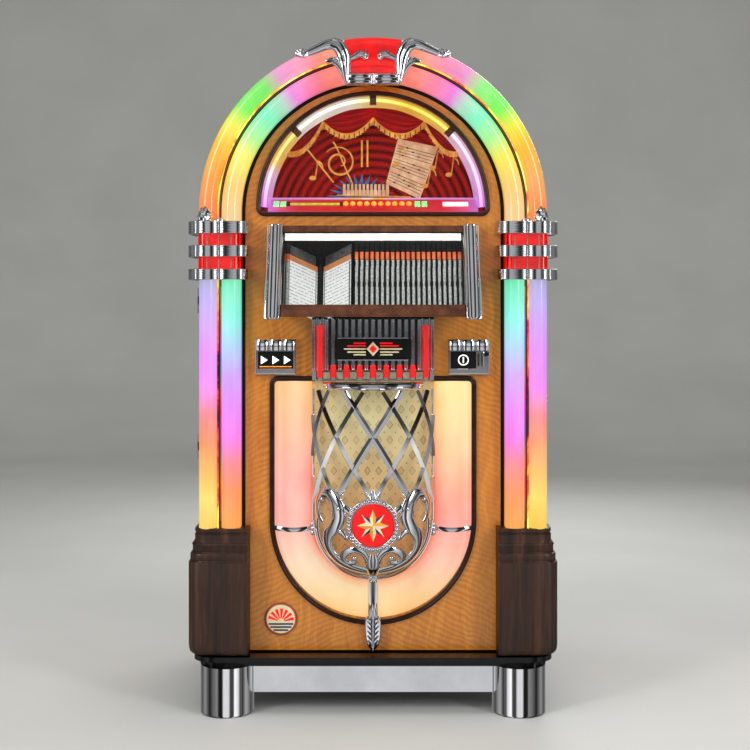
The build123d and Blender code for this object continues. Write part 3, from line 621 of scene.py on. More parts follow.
def title_paper(name, pitch, across):
    """White cards ruled into rows, each row with short grey dashes that stand for entries; they glow with
    painted light, a little brighter towards the top of each row.
    """
    p = Paint(name, Roughness=0.55)
    x, y, z = p.axes()
    slope = p.plus(p.times(z, math.cos(LEAN)), p.times(y, math.sin(LEAN)))
    row = p.times(slope, 1 / pitch)
    inside = p.calc("FRACT", row)
    band = p.times(p.calc("GREATER_THAN", inside, 0.40), p.calc("LESS_THAN", inside, 0.62))
    steps = p.node("ShaderNodeCombineXYZ", {0: p.times(x, across), 1: p.calc("FLOOR", row)})
    words = p.calc("GREATER_THAN", p.noise(steps, 1.0, 2.0), 0.47)
    ink = p.times(band, words)
    colour = p.mix(p.times(ink, 0.7), srgb(236, 238, 236), srgb(96, 98, 104))
    # Painted light: the cards glow as if lit by the rack's lamp, a little brighter towards the top of each
    # row.
    p.set(Base_Color=colour, Emission_Color=colour, Emission_Strength=p.span(inside, 0, 1, 0.32, 0.38))
    return p.bump(ink, 0.05 * MM, 0.1).material


def fascia_glow():
    """Red sloping shelf that glows, rosy and then violet towards its ends, with painted light from the light
    tubes that stand there.
    """
    p = Paint("fascia_glow", Roughness=0.3, Coat_Weight=0.4, Coat_Roughness=0.1)
    x, _, _ = p.axes()
    cloud = p.noise(p.place(), 12.0, 2.0)
    # Painted light: rose and then violet towards the ends, where the light tubes shine on the shelf.
    colour = p.ramp(p.span(p.size(x), 0.10, 0.24), shades([
        (0.0, 216, 34, 40), (0.5, 222, 44, 70), (0.8, 226, 70, 130), (1.0, 206, 120, 220),
    ]))
    p.glow(colour, cloud, 0.5, 0.7, 0.5)
    return p.bump(cloud, 0.1 * MM, 0.1).material


def clear_glass():
    """Nearly clear pane with faint smears."""
    p = Paint("clear_glass", Alpha=0.08, Coat_Weight=0.0, IOR=1.45)
    smear = p.noise(p.place(), 8.0, 3.0)
    p.set(Base_Color=p.mottle(smear, (0.02, 0.022, 0.022), (0.04, 0.044, 0.044)))
    p.set(Roughness=p.span(smear, 0.3, 0.7, 0.02, 0.06))
    return p.material


def striped_film():
    """Colour film wound round the turning cylinders."""
    p = Paint("striped_film", Roughness=0.3)
    x, _, z = p.axes()
    bands = p.calc("FRACT", p.plus(p.times(z, 5.0), p.times(x, 4.0)))
    colour = p.ramp(bands, shades([
        (0.0, 240, 60, 60), (0.2, 250, 190, 50), (0.4, 90, 220, 110), (0.6, 90, 160, 240),
        (0.8, 220, 90, 230), (1.0, 240, 60, 60),
    ]))
    p.set(Base_Color=colour)
    return p.bump(bands, 0.1 * MM, 0.1).material


CHROME = chrome()
FIGURED = figured_wood()
WALNUT = side_wood("walnut", srgb(26, 12, 5), srgb(56, 29, 13), srgb(86, 50, 26), gloss=0.45, coat=0.1)
AMBER = side_wood("amber_side", srgb(120, 66, 16), srgb(168, 102, 30), srgb(196, 130, 48))
PLY = side_wood("plywood", srgb(150, 116, 74), srgb(186, 152, 106), srgb(206, 176, 130), coat=0.0, gloss=0.6)
BLACK_GLOSS = plain(
    "black_lacquer", (0.003, 0.003, 0.003), (0.007, 0.007, 0.008), 0.18, coat=0.15, shine=0.2)
BLACK_BOARD = plain("black_board", (0.012, 0.012, 0.012), (0.03, 0.03, 0.03), 0.6, bump=0.3)
BLACK_PLASTIC = plain("black_plastic", (0.004, 0.004, 0.004), (0.010, 0.010, 0.011), 0.35, shine=0.2)
RUBBER = plain("rubber", (0.004, 0.004, 0.004), (0.010, 0.010, 0.010), 0.75, bump=0.3, shine=0.15)
STEEL = plain("zinc_steel", (0.42, 0.42, 0.40), (0.58, 0.58, 0.55), 0.32, metal=1.0)
ANODISED = plain("anodised", (0.03, 0.03, 0.034), (0.07, 0.07, 0.075), 0.35, metal=1.0)
BROWN = plain("brown_trim", srgb(34, 17, 10), srgb(60, 33, 22), 0.28, metal=0.3, coat=0.2, shine=0.3)
COPPER = plain("copper_brown", srgb(92, 50, 32), srgb(136, 82, 54), 0.28, metal=0.7, coat=0.4)
PALE_ORANGE = plain("pale_orange", srgb(236, 146, 86), srgb(252, 172, 112), 0.5)
BADGE_RED = plain("badge_red", srgb(150, 62, 34), srgb(186, 86, 52), 0.3, coat=0.4)
SPEAKER = plain("speaker_black", (0.015, 0.015, 0.016), (0.04, 0.04, 0.042), 0.55, bump=0.4)
DISCS = plain("disc_silver", (0.55, 0.58, 0.64), (0.75, 0.72, 0.70), 0.14, metal=0.9)
PAGE_BLACK = plain("page_black", (0.006, 0.006, 0.007), (0.014, 0.014, 0.016), 0.35, shine=0.2)
PAGE_HEAD = plain("page_head", srgb(84, 86, 88), srgb(128, 130, 130), 0.35, metal=0.3)
# Painted light: the stack's grey edges and orange bands glow a little, as if lit by the rack's lamp.
PAGE_EDGE = lit_print("page_edge", srgb(150, 156, 156), srgb(214, 216, 212), 0.06, 220.0)
ORANGE = lit_print("orange_strip", srgb(216, 92, 46), srgb(238, 124, 70), 0.2)
PAPER = title_paper("title_paper", 8.4 * MM, 190.0)
FROSTED = lit_print("frosted_key", srgb(122, 122, 104), srgb(160, 158, 138), 0.1, 90.0)
RED_PLASTIC = lit_print("red_insert", srgb(222, 8, 8), srgb(246, 22, 20), 0.55, 30.0)
RED_CLEAR = translucent_red()
OUTER_LIT = lit_lens("outer_lit_lens", OUTER_COLUMN, OUTER_ARCH, 0.86)
INNER_LIT = lit_lens("inner_lit_lens", INNER_COLUMN, INNER_ARCH, 0.90)
TUBE_LIT = bubble_tube()
DOME_LIT = dome_tube("dome_tube", 1.5, 0.5)
LOWER_LIT = lower_glow()
BACKDROP = backdrop_print()
CURTAIN = curtain_cloth()
CLOTH = grille_cloth()
GOLD = plain("gold_enamel", srgb(236, 150, 30), srgb(252, 180, 60), 0.3, coat=0.4)
# Painted light: the gold print in the window glows, as if lit by the light tubes.
GOLD_PRINT = lit_print("gold_print", srgb(206, 130, 40), srgb(240, 176, 74), 0.3)
CREAM = plain("cream_enamel", srgb(240, 226, 170), srgb(252, 242, 204), 0.25, coat=0.6)
# Painted light: the red enamel glows, though no lamp lies behind it.
RED_ENAMEL = lit_print("red_enamel", srgb(226, 4, 6), srgb(246, 12, 12), 0.42, 20.0)
NAVY = plain("navy_enamel", srgb(20, 26, 70), srgb(34, 44, 100), 0.2, coat=0.8)
GREEN_LED = lit_print("green_led", srgb(90, 220, 130), srgb(160, 250, 180), 1.0)
YELLOW_LED = lit_print("yellow_led", srgb(150, 170, 40), srgb(206, 214, 70), 0.7)
ORANGE_LED = lit_print("orange_led", srgb(250, 130, 30), srgb(255, 176, 60), 1.0)
WHITE_LED = lit_print("white_led", srgb(240, 236, 226), srgb(255, 255, 250), 1.2)
# Painted light: the blue, sheet and dark print in the window glows, as if lit by the light tubes.
BLUE_PRINT = lit_print("blue_print", srgb(30, 70, 130), srgb(60, 120, 180), 0.3)
SHEET_PRINT = lit_print("sheet_print", srgb(214, 160, 120), srgb(236, 196, 160), 0.3)
DARK_PRINT = lit_print("dark_print", srgb(50, 16, 14), srgb(80, 26, 20), 0.1)
FASCIA = fascia_glow()
# Painted light: the reveal and the fascia's lip glow in the light tubes' colours, as if lit by them.
REVEAL = dome_tube("dome_reveal", 0.62, 0.7)
GLASS = clear_glass()
FILM = striped_film()

CAD_FINISH = {
    "front_feet": CHROME, "rear_feet": RUBBER, "front_crossbar": CHROME, "plinth": BLACK_GLOSS,
    "cabinet_shell": AMBER, "floor_board": PLY, "back_panel": BLACK_BOARD, "power_inlet": BLACK_PLASTIC,
    "power_rocker": RED_PLASTIC, "speaker_baffle": PLY, "speaker_drivers": SPEAKER, "mechanism_shelf": PLY,
    "changer_chassis": STEEL, "disc_carousel": DISCS, "transfer_arm": STEEL, "amplifier": ANODISED,
    "cash_box": STEEL, "door_hinges": CHROME, "door_frame": BLACK_GLOSS, "door_lock": CHROME,
    "door_panel": FIGURED, "inner_lenses": INNER_LIT, "outer_lenses": OUTER_LIT, "bubble_tubes": TUBE_LIT,
    "pilasters": WALNUT, "collar_rings": CHROME, "collar_bands": RED_CLEAR, "crown_cap": RED_CLEAR,
    "crown_bracket": CHROME, "dome_frame": BROWN, "dome_glass": GLASS, "dome_light_tubes": DOME_LIT,
    "dome_interior": BACKDROP, "rack_rails": COPPER, "rack_posts": CHROME, "rack_glass": GLASS,
    "rack_housing": BLACK_PLASTIC, "title_pages": PAGE_BLACK, "turning_page": PAGE_BLACK,
    "fluted_panel": CHROME, "key_bar": CHROME, "message_box": CHROME, "coin_box": CHROME,
    "reject_button": BLACK_PLASTIC, "lower_trim": BROWN, "lower_lens": LOWER_LIT, "grille": CHROME,
    "grille_cloth": CLOTH, "medallion": CHROME, "pendant_leaf": CHROME,
    "colour_cylinder_left": FILM, "colour_cylinder_right": FILM,
}
for name, node in NODES.items():
    node.data.materials.clear()
    node.data.materials.append(CAD_FINISH.get(name, FROSTED))


# ---------------------------------------------------------------- pilasters and collars


# Behind the front corner, pilasters and collars share one outline back to the wood
CORNER_RETURN = [(396, -150), (396, -214), (292, -217), (292, PANEL_Y - 0.5)]


def side_outline(inset):
    """Points round the front corner, from the wood face to the side: two lobes and a straight return."""
    x_in = 278 + inset
    x_out = high("pilasters").x - inset
    front = low("pilasters").y + inset
    back, side_start = -150, -200
    groove, notch = 346.5, 15
    first_lobe, second_lobe = 0.42, 0.86
    points = []
    count = 72
    for i in range(count):
        t = i / (count - 1)
        if t < first_lobe:
            a = math.pi * (1 - t / first_lobe)
            x = (x_in + groove) / 2 + (groove - x_in) / 2 * math.cos(a)
            rise = max(0.0, math.sin(a)) ** 0.45
            base = PANEL_Y if a > math.pi / 2 else front + notch
            points.append((x, base + (front - base) * rise))
        elif t < second_lobe:
            a = math.pi / 2 * (t - first_lobe) / (second_lobe - first_lobe)
            lift = math.sin(2 * a) ** 0.5 if 0 < a < math.pi / 4 else 1.0
            x = groove + (x_out - groove) * math.sin(a) ** 0.85
            bow = front + (1 - math.cos(a) ** 0.55) * (side_start - front)
            points.append((x, bow + notch * (1 - lift)))
        else:
            u = (t - second_lobe) / (1 - second_lobe)
            points.append((x_out, side_start + u * (back - side_start)))
    return points


def side_loft(name, levels, ribs):
    """Left and right chrome bodies built from insets at several heights, with ribs on the outer corner."""
    for side, tag in SIDES:
        pile = Pile()
        rows = []
        for z, inset in levels:
            outline = side_outline(inset)
            row = []
            for i, (x, y) in enumerate(outline):
                push = ribs(i / (len(outline) - 1))
                before = outline[max(i - 1, 0)]
                after = outline[min(i + 1, len(outline) - 1)]
                tx, ty = after[0] - before[0], after[1] - before[1]
                size = math.hypot(tx, ty) or 1.0
                row.append((side * (x + ty / size * push), y - tx / size * push, z))
            rows.append(row + [(side * x, y, z) for x, y in CORNER_RETURN])
        pile.solid(rows)
        yield pile.build(f"{name}_{tag}", CHROME, "chrome", degrees=50)


def pilaster_outline(inset):
    """Flat faced, square on the inner side, rounded round the outer corner."""
    x_in = 279
    x_out = high("pilasters").x - inset
    front = low("pilasters").y + inset
    corner, ease, bow = 30, 4, 3
    face_from, face_to = x_in + ease, x_out - corner
    points = [(x_in, PANEL_Y - 1), (x_in, front + ease), (x_in + 1, front + 1.4), (face_from, front)]
    for k in range(1, 10):
        u = k / 9
        points.append((face_from + (face_to - face_from) * u, front + bow * u**3))
    for k in range(1, 17):
        a = math.pi / 2 * k / 16
        points.append((face_to + corner * math.sin(a), front + bow + corner * (1 - math.cos(a))))
    return points + [(x_out, -180), (x_out, -150)] + CORNER_RETURN


def make_pilasters():
    """Walnut bases under the columns, stepped in towards the head with beads between the steps."""
    base = low("pilasters").z
    top = high("pilasters").z + 5
    foot = [(0, 12), (2, 7), (7, 3), (14, 0.8), (24, 0)]
    steps = [
        (343, 0), (345, 0.6), (346, 3.2), (348, 4.2), (350, 3.4), (362, 3.4), (364, 4.4), (365, 7.6),
        (367, 8.8), (369, 8), (380, 8), (383, 6.6), (386, 8.4), (388, 12), (391, 12.6), (405, 12.6),
        (407, 15), (409, 15), (411, 12.8),
    ]
    levels = [(base + z, inset) for z, inset in foot] + steps + [(top - 2, 12.8), (top, 15)]
    first = None
    for side, tag in SIDES:
        rows = [[(side * x, y, z) for x, y in pilaster_outline(inset)] for z, inset in levels]
        pile = Pile().solid(rows)
        piece = pile.build(f"pilaster_{tag}", WALNUT, "walnut", degrees=40)
        first = first or piece
    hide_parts("pilasters")


def make_feet():
    """Polished drum feet with a small chamfer at the floor."""
    foot_low, foot_high = low("front_feet"), high("front_feet")
    radius = (foot_high.y - foot_low.y) / 2
    centre = foot_high.x - radius
    y = (foot_high.y + foot_low.y) / 2
    wide = radius + 3
    pile = Pile()
    for side in (-1, 1):
        rows = []
        for z, inset in ((0, 2), (2, 0), (5, 0), (50, 0), (foot_high.z - 3, 0), (foot_high.z, 0)):
            reach = wide - inset
            row = []
            for k in range(72):
                a = math.tau * k / 72
                row.append((side * (centre + 2 + reach * math.cos(a)), y + reach * math.sin(a), z))
            rows.append(row)
        pile.solid(rows)
    finish = foot_chrome_painted_reflection((centre + 2) * MM, wide * MM)
    feet = pile.build("front_feet_polished", finish, "chrome", "cabinet", degrees=50)
    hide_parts("front_feet")


def foot_chrome_painted_reflection(centre, radius):
    """Polished drum with painted reflection: darker and brighter upright bands in its colour, brighter towards
    the cabinet's middle.
    """
    p = Paint("foot_chrome_painted_reflection", Metallic=1.0)
    x, _, _ = p.axes()
    u = p.span(p.minus(p.size(x), centre), -radius, radius)
    cloud = p.noise(p.place(), 30.0, 2.0)
    # Painted reflection: the upright bands stand for the surroundings mirrored in the drum.
    levels = [
        (0.00, 0.7), (0.18, 0.6), (0.22, 0.15), (0.25, 0.98), (0.52, 0.98), (0.55, 0.18), (0.84, 0.22),
        (0.90, 0.8),
    ]
    bands = p.ramp(u, [(spot, (level, level, level * 1.02)) for spot, level in levels])
    p.set(Base_Color=p.mix(p.span(cloud, 0.3, 0.7, 0.0, 0.06), bands, (0.4, 0.4, 0.42)))
    p.set(Roughness=p.span(cloud, 0.3, 0.7, 0.05, 0.10))
    return p.bump(cloud, 0.1 * MM, 0.05).material


def make_collar_rings():
    """Three cast chrome rings a side: fine level ribs in front, upright ribs round the outer corner."""

    def ribs(t):
        return 1.3 * math.sin(t * 330) if t > 0.60 else 0.0

    first = None
    count = 5
    for index, (z0, z1) in enumerate(((976, 1001), (1027, 1054), (1079, 1108))):
        rise = (z1 - z0) / count
        levels = [(z0, 6)]
        for rib in range(count):
            for part, depth in ((0.10, 1.4), (0.30, 0.2), (0.5, 0.0), (0.70, 0.2), (0.90, 1.4)):
                levels.append((z0 + rise * (rib + part), depth - 4))
        levels.append((z1, 5))
        levels = [(z, max(inset, -4)) for z, inset in levels]
        for piece in side_loft(f"collar_ring_{index + 1}", levels, ribs):
            first = first or piece
    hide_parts("collar_rings")


def make_collar_details():
    """Seams on the red bands, and the shell finial on each top ring."""
    for side, tag in SIDES:
        seams = Pile()
        for z0, z1 in ((1002, 1026), (1055, 1078)):
            for x in (318, 346, 372):
                seams.brick(side * x - 1, side * x + 1, -271, -267, z0, z1)
        seams.build(f"band_seam_{tag}", FROSTED, "frosted_key")
        shell = Pile()
        top = 1106
        centre_x = side * 376
        for leaf in range(-4, 5):
            a = math.radians(90 + leaf * 22)
            reach = 32 - abs(leaf) * 2.2
            path = []
            for step in range(7):
                s = step / 6
                path.append((
                    centre_x + math.cos(a) * reach * s * 0.62,
                    -262 - 14 * math.sin(s * math.pi * 0.8),
                    top + math.sin(a) * reach * s + 2,
                ))
            radii = [2.4 + 3.4 * math.sin(math.pi * (0.15 + 0.75 * k / 6)) for k in range(7)]
            shell.tube(path, radii, 8)
        shell.ball((centre_x, -262, top + 10), 16, (1.05, 0.7, 1.1))
        shell.ball((centre_x, -272, top + 5), 8, (1.3, 0.9, 0.9))
        shell.ball((side * 343, -272, top + 4), 8, (1.3, 0.8, 0.7))
        for wing in (-1, 1):
            spot = (side * 343 + wing * 9, -270, top + 2)
            shell.ball(spot, 5, (1.2, 0.8, 0.7))
        shell.build(f"shell_finial_{tag}", CHROME, "chrome")


make_pilasters()
make_feet()
make_collar_rings()
make_collar_details()


# ---------------------------------------------------------------- crown


CROWN_Y = -284


def ribbon(pile, points, y_shift):
    """A cast band with a ridge along it, on both sides: points are (x, z, half width) in the front view."""
    depth, spine = 0.5, 0.3
    path = smooth_path([(x, CROWN_Y + y_shift, z) for x, z, _ in points], 6)
    radii = [w * 1.3 for w in even_widths([w for _, _, w in points], len(path))]
    ridge = [p + Vector((0, -depth * r * 0.75, 0)) for p, r in zip(path, radii)]
    for side in (1, -1):
        pile.tube([(side * x, y, z) for x, y, z in path], radii, 14, squash=depth, up=FRONT)
    for side in (1, -1):
        pile.tube([(side * x, y, z) for x, y, z in ridge], [r * spine for r in radii], 8, squash=0.8, up=FRONT)


def make_crown():
    """Chrome bracket: a bar in two halves, broad arms over the outer lens, curls inside, leaves outside."""
    pile = Pile()
    for x0, x1 in ((-60, -1), (1, 60)):
        pile.brick(x0, x1, -288, -270, 1411, 1437, 2.5)
        pile.brick(x0 + 4, x1 - 4, -291, -286, 1413, 1421, 2)
        pile.brick(x0 + 6, x1 - 6, -290, -286, 1425, 1434, 2)
    arm = [(-57, 1414, 4), (-60, 1430, 6), (-62, 1450, 9), (-65, 1474, 12), (-76, 1496, 12), (-93, 1504, 10)]
    tail = [(-88, 1504, 10), (-106, 1501, 9), (-120, 1495, 8), (-134, 1489, 7), (-146, 1484, 6)]
    curl = [(-60, 1460, 4), (-50, 1469, 4), (-40, 1474, 5), (-30, 1479, 6), (-20, 1476, 6), (-15, 1468, 4)]
    leaf = [(-57, 1414, 3), (-65, 1434, 5), (-74, 1454, 7), (-88, 1466, 7), (-106, 1464, 2)]
    root = [(-57, 1432, 3), (-54, 1448, 4), (-56, 1462, 4), (-62, 1472, 3)]
    for points, y_shift in ((arm, 0), (tail, 12), (curl, -2), (leaf, 3), (root, 2)):
        ribbon(pile, points, y_shift)
    for side in (-1, 1):
        for rib in range(5):
            x = side * (36 - 6 * rib)
            z = 1478 + 5 * math.sin(rib / 4 * math.pi)
            pile.tube([(x, -291, z - 7), (x - side, -293, z), (x, -290, z + 7)], 1.7, 6)
        centre = (side * 156, -262, 1482)
        pile.ball(centre, 15, (1.2, 0.8, 0.85))
        for fold in range(-3, 4):
            a = math.radians(90 + fold * 26)
            tip = (centre[0] + 17 * math.cos(a), centre[1] - 4, centre[2] + 12 * math.sin(a))
            root = (centre[0] - side * 2, centre[1] - 12, centre[2] - 6)
            pile.tube([root, tip], [2.2, 3.4], 8)
        pile.ball((centre[0], centre[1] - 11, centre[2] - 5), 6, (1.2, 0.8, 0.8))
    piece = pile.build("crown_bracket_cast", CHROME, "chrome", degrees=50)
    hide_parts("crown_bracket")


def make_crown_cap():
    """Red cap between the arms, its shoulders rounded over like the lenses beside it."""
    top = high("crown_cap").z
    front, back = low("crown_cap").y, high("crown_cap").y
    radius_top = top - SPRING_Z
    radius_low = PANEL_HALF + 8
    spread = math.radians(9.7)
    section = (
        (radius_low, back), (radius_low, front + 16), (radius_low + 4, front + 6),
        (radius_low + 16, front + 1), (radius_low + 40, front), (radius_top - 22, front + 1),
        (radius_top - 8, front + 8),
        (radius_top - 2, front + 18), (radius_top, front + 30), (radius_top, back),
    )
    rows = []
    for k in range(33):
        a = math.pi / 2 - spread + 2 * spread * k / 32
        rows.append([(radius * math.cos(a), y, SPRING_Z + radius * math.sin(a)) for radius, y in section])
    cap = Pile().solid(rows)
    piece = cap.build("crown_cap_moulded", RED_CLEAR, "red_translucent", degrees=60)
    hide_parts("crown_cap")


# ---------------------------------------------------------------- dome window


def make_dome_trim():
    """The window's rounded rim, clips on the light tubes, and the lit reveal behind them."""
    radius = DOME_R + 4
    corner = 14
    sill = DOME_Z - corner
    path = arc_points(0, DOME_Z, radius, 0, 180, 91)
    path += arc_points(-radius + corner, DOME_Z, corner, 180, 270, 9)[1:]
    path += [(-radius + corner + (2 * radius - 2 * corner) * k / 20, sill) for k in range(1, 20)]
    path += arc_points(radius - corner, DOME_Z, corner, 270, 360, 9)[:-1]
    y = (low("dome_frame").y + PANEL_Y) / 2
    rim = Pile().tube([(x, y, z) for x, z in path], 4.8, 12, closed=True, up=FRONT)
    edge = [(x * 0.986, y - 2.5, DOME_Z + (z - DOME_Z) * 0.986) for x, z in path]
    rim.tube(edge, 2.0, 8, closed=True, up=FRONT)
    piece = rim.build("dome_rim", BROWN, "brown_trim")
    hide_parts("dome_frame")
    clips = Pile()
    for degrees in (45, 90, 135):
        a = math.radians(degrees)
        radial = Vector((math.cos(a), 0, math.sin(a)))
        across = Vector((-math.sin(a), 0, math.cos(a)))
        rows = []
        for reach in (DOME_R - 19, DOME_R - 0.5):
            centre = Vector((0, 0, DOME_Z)) + radial * reach
            corners = ((-1, -219), (1, -219), (1, -200), (-1, -200))
            rows.append([tuple(centre + across * sx * 7.5 + Vector((0, sy, 0))) for sx, sy in corners])
        clips.solid(rows)
    clips.build("dome_tube_clips", COPPER, "copper_brown")
    # The reveal behind the tubes glows in their colours: painted light from the tubes.
    section = ((240, -214), (238, -200), (235, -160), (238, -160), (256, -199), (256, -214))
    rows = []
    for cx, cz in arc_points(0, 0, 1.0, 1, 179, 72):
        rows.append([(cx * reach, y, DOME_Z + cz * reach) for reach, y in section])
    Pile().solid(rows).build("dome_reveal", REVEAL, "light_tube")


def make_curtain():
    """Four swags of red cloth with gold fringe, hung along the arch of the backdrop."""
    y = BACKDROP_Y - 5
    cusps = [(-197, 1273), (-116, 1342), (0, 1351), (119, 1342), (197, 1273)]
    sags = (24, 34, 34, 24)
    arch = 236
    cloth, fringe = Pile(), Pile()
    columns, rows_count, strands = 40, 44, 30
    for (x0, z0), (x1, z1), sag in zip(cusps, cusps[1:], sags):
        rows = []
        for r in range(rows_count + 1):
            v = r / rows_count
            row = []
            for c in range(columns + 1):
                u = c / columns
                x = x0 + (x1 - x0) * u
                top = math.sqrt(max(arch**2 - x * x, 0)) + DOME_Z
                bottom = z0 + (z1 - z0) * u - sag * math.sin(math.pi * u) ** 0.9
                z = top + (bottom - top) * v
                drape = math.sin(math.pi * u)
                fold = math.sin(v * 25 + 1.5 * drape) * drape**0.5
                gather = math.cos(u * math.tau) ** 6
                row.append((x, y - (5.6 * fold + 3.0 * gather + 5.8), z))
            rows.append(row)
        hem = rows[-1]
        cloth.grid(rows)
        for k in range(strands):
            u = (k + 0.5) / strands * columns
            base = Vector(hem[int(u)]) + Vector((0, -3, 0))
            length = 10 + 1.4 * math.sin(k * 2.1)
            path = [base + Vector((0, -1.5, 1)), base + Vector((0, -1.5, -length))]
            fringe.tube(path, [1.7, 2.2], 6)
        fringe.tube([Vector(p) + Vector((0, -1.5, 1.5)) for p in hem], 1.7, 6)
    for x, z in cusps[1:-1]:
        cloth.ball((x, y - 5, z + 4), 8, (0.8, 0.5, 1.5))
        path = [(x, y - 6, z - 4), (x, y - 6, z - 15)]
        fringe.tube(path, [2.4, 3.6], 8)
    curtain = cloth.build("dome_curtain", CURTAIN, "maroon_backdrop")
    fringe.build("curtain_fringe", GOLD_PRINT, "maroon_backdrop")


def make_backdrop_art():
    """Plain musical shapes in low relief: a clef, bars, notes, a ruled sheet, a star and a row of keys."""
    y = BACKDROP_Y - 2
    gold = Pile()
    centre_x, centre_z, size = -79, 1250, 38
    spiral = []
    for k in range(46):
        t = k / 45
        a = math.radians(-60 + 560 * t)
        r = size * (0.22 + 0.78 * t**0.8)
        spiral.append((centre_x + r * math.cos(a), y, centre_z + r * math.sin(a)))
    gold.tube(spiral, [1.2 + 1.6 * math.sin(math.pi * k / 45) for k in range(46)], 6)
    stem = [(-93, 1298), (-84, 1284), (-62, 1232), (-46, 1196), (-48, 1186), (-58, 1186)]
    gold.tube(smooth_path([(x, y, z) for x, z in stem], 5), 2.0, 6)
    for x in (-26, -13):
        gold.brick(x - 2.2, x + 2.2, y - 1, y + 1, 1240, 1302)
    gold.tube([(-152, y, 1280), (-92, y, 1204)], 2.2, 6)
    notes = ((138, 1238, 0.5), (176, 1222, 0.35), (120, 1196, 0.6), (-140, 1214, 0.4), (52, 1246, 0.5))
    for x, z, lean in notes:
        gold.ball((x, y, z), 6.5, (1.25, 0.3, 0.85), 6, 12)
        top = (x + 6 + 14 * lean, y, z + 40)
        gold.tube([(x + 6, y, z), top], 1.3, 6)
        flag = [top, (top[0] + 9, y, top[2] - 7), (top[0] + 12, y, top[2] - 17)]
        gold.tube(smooth_path(flag, 4), [2.2] * 5 + [1.4] * 4, 6)
    gold.build("backdrop_notes", GOLD_PRINT, "maroon_backdrop")
    sheet = Pile().slab([(30, 1202), (109, 1165), (151, 1286), (58, 1306)], y, y + 2)
    sheet.build("backdrop_sheet", SHEET_PRINT, "page_board")
    lines = Pile()
    for k in range(15):
        t = (k + 1) / 16
        left = (33 + 28 * t, 1205 + 97 * t)
        right = (107 + 41 * t, 1169 + 113 * t)
        if k % 5 != 4:
            lines.tube([(left[0], y - 0.6, left[1]), (right[0], y - 0.6, right[1])], 0.5, 4)
            spot = 0.2 + 0.6 * ((k * 7) % 10) / 10
            x = left[0] + (right[0] - left[0]) * spot
            z = left[1] + (right[1] - left[1]) * spot
            lines.ball((x, y - 0.8, z), 2.2, (1.2, 0.3, 0.9), 4, 8)
    for k in range(11):
        x = -62 + 9 * k
        lines.brick(x - 1.6, x + 1.6, y - 3, y, 1186, 1200, 0.3)
    lines.build("backdrop_lines", DARK_PRINT, "maroon_backdrop")
    burst = []
    for k in range(26):
        a = math.radians(180 * k / 25)
        r = 34 if k % 2 else 62
        burst.append((-30 + 1.25 * r * math.cos(a), 1166 + r * 0.95 * math.sin(a)))
    Pile().slab(burst, y + 1, y + 2).build("backdrop_star", BLUE_PRINT, "maroon_backdrop")
    keys = Pile()
    for k in range(12):
        x = -66 + 9 * k
        keys.brick(x - 4, x + 4, y - 2, y, 1172, 1200, 0.4)
    keys.build("backdrop_keys", SHEET_PRINT, "page_board")
    rim = Pile().tube([(-84, y - 3, 1174), (88, y - 3, 1170)], 1.6, 6)
    rim.build("backdrop_rim", GOLD_PRINT, "maroon_backdrop")


def make_fascia():
    """Sloping red display shelf at the foot of the window, with small lit segments."""
    foot = DOME_Z - 9
    front, back, lip_z = -217, -176, foot + 33
    profile = [(front, foot), (front, foot + 4), (back, lip_z), (back + 4, foot)]
    rows = [[(x, y, z) for y, z in profile] for x in (-240, -236, 236, 240)]
    Pile().solid(rows).build("display_fascia", FASCIA, "red_translucent")

    def lit(name, material, marks):
        """Patches (x0, x1, s0, s1) that lie on the slope, s running from its foot to its head."""
        group = Pile()
        for x0, x1, s0, s1 in marks:
            corners = []
            for x, s in ((x0, s0), (x1, s0), (x1, s1), (x0, s1)):
                corners.append((x, front + (back - front) * s - 1.4, foot + 5.6 + (lip_z - foot - 4) * s))
            group.solid([[(x, y + 2, z - 2) for x, y, z in corners], corners])
        group.build(name, material, "light_tube")

    def digit(x):
        """A figure eight of five bars."""
        bars = [(x - 6, x + 6, 0.34, 0.42), (x - 6, x + 6, 0.50, 0.58), (x - 6, x + 6, 0.66, 0.74)]
        return bars + [(x - 6, x - 3.4, 0.34, 0.74), (x + 3.4, x + 6, 0.34, 0.74)]

    lit("display_green", GREEN_LED, digit(-222) + digit(-206) + digit(102) + digit(118))
    lit("display_bar", YELLOW_LED, [(-190, -76, 0.46, 0.60)])
    lit("display_ends", DARK_PRINT, [(-198, -190, 0.40, 0.72), (-76, -70, 0.40, 0.72)])
    lit("display_white", WHITE_LED, [(160, 218, 0.38, 0.68)])
    beads = Pile()
    for k in range(10):
        spot = (-62.5 + 16.1 * k, front + 22, foot + 20.5)
        beads.ball(spot, 6.4, (1, 0.9, 0.95), 8, 12)
    beads.build("display_beads", ORANGE_LED, "light_tube")
    lip = Pile().tube([(-236, back, lip_z + 1), (236, back, lip_z + 1)], 2.2, 8)
    lip.build("fascia_lip", REVEAL, "light_tube")


# ---------------------------------------------------------------- title rack

RACK_N = Vector((0, -math.cos(LEAN), math.sin(LEAN)))
RACK_U = Vector((0, math.sin(LEAN), math.cos(LEAN)))
RACK_C = (low("rack_glass") + high("rack_glass")) / 2 + RACK_N * 4.5
PAGE_JOINT = next(j for j in frame["joints"] if j["name"] == "page_turn")
SPINE = Vector(PAGE_JOINT["pos_m"]) / MM - RACK_C


def rack_point(x, u, n):
    """A point given across, up the slope and out of the rack, in millimetres."""
    return tuple(RACK_C + Vector((x, 0, 0)) + RACK_U * u + RACK_N * n)


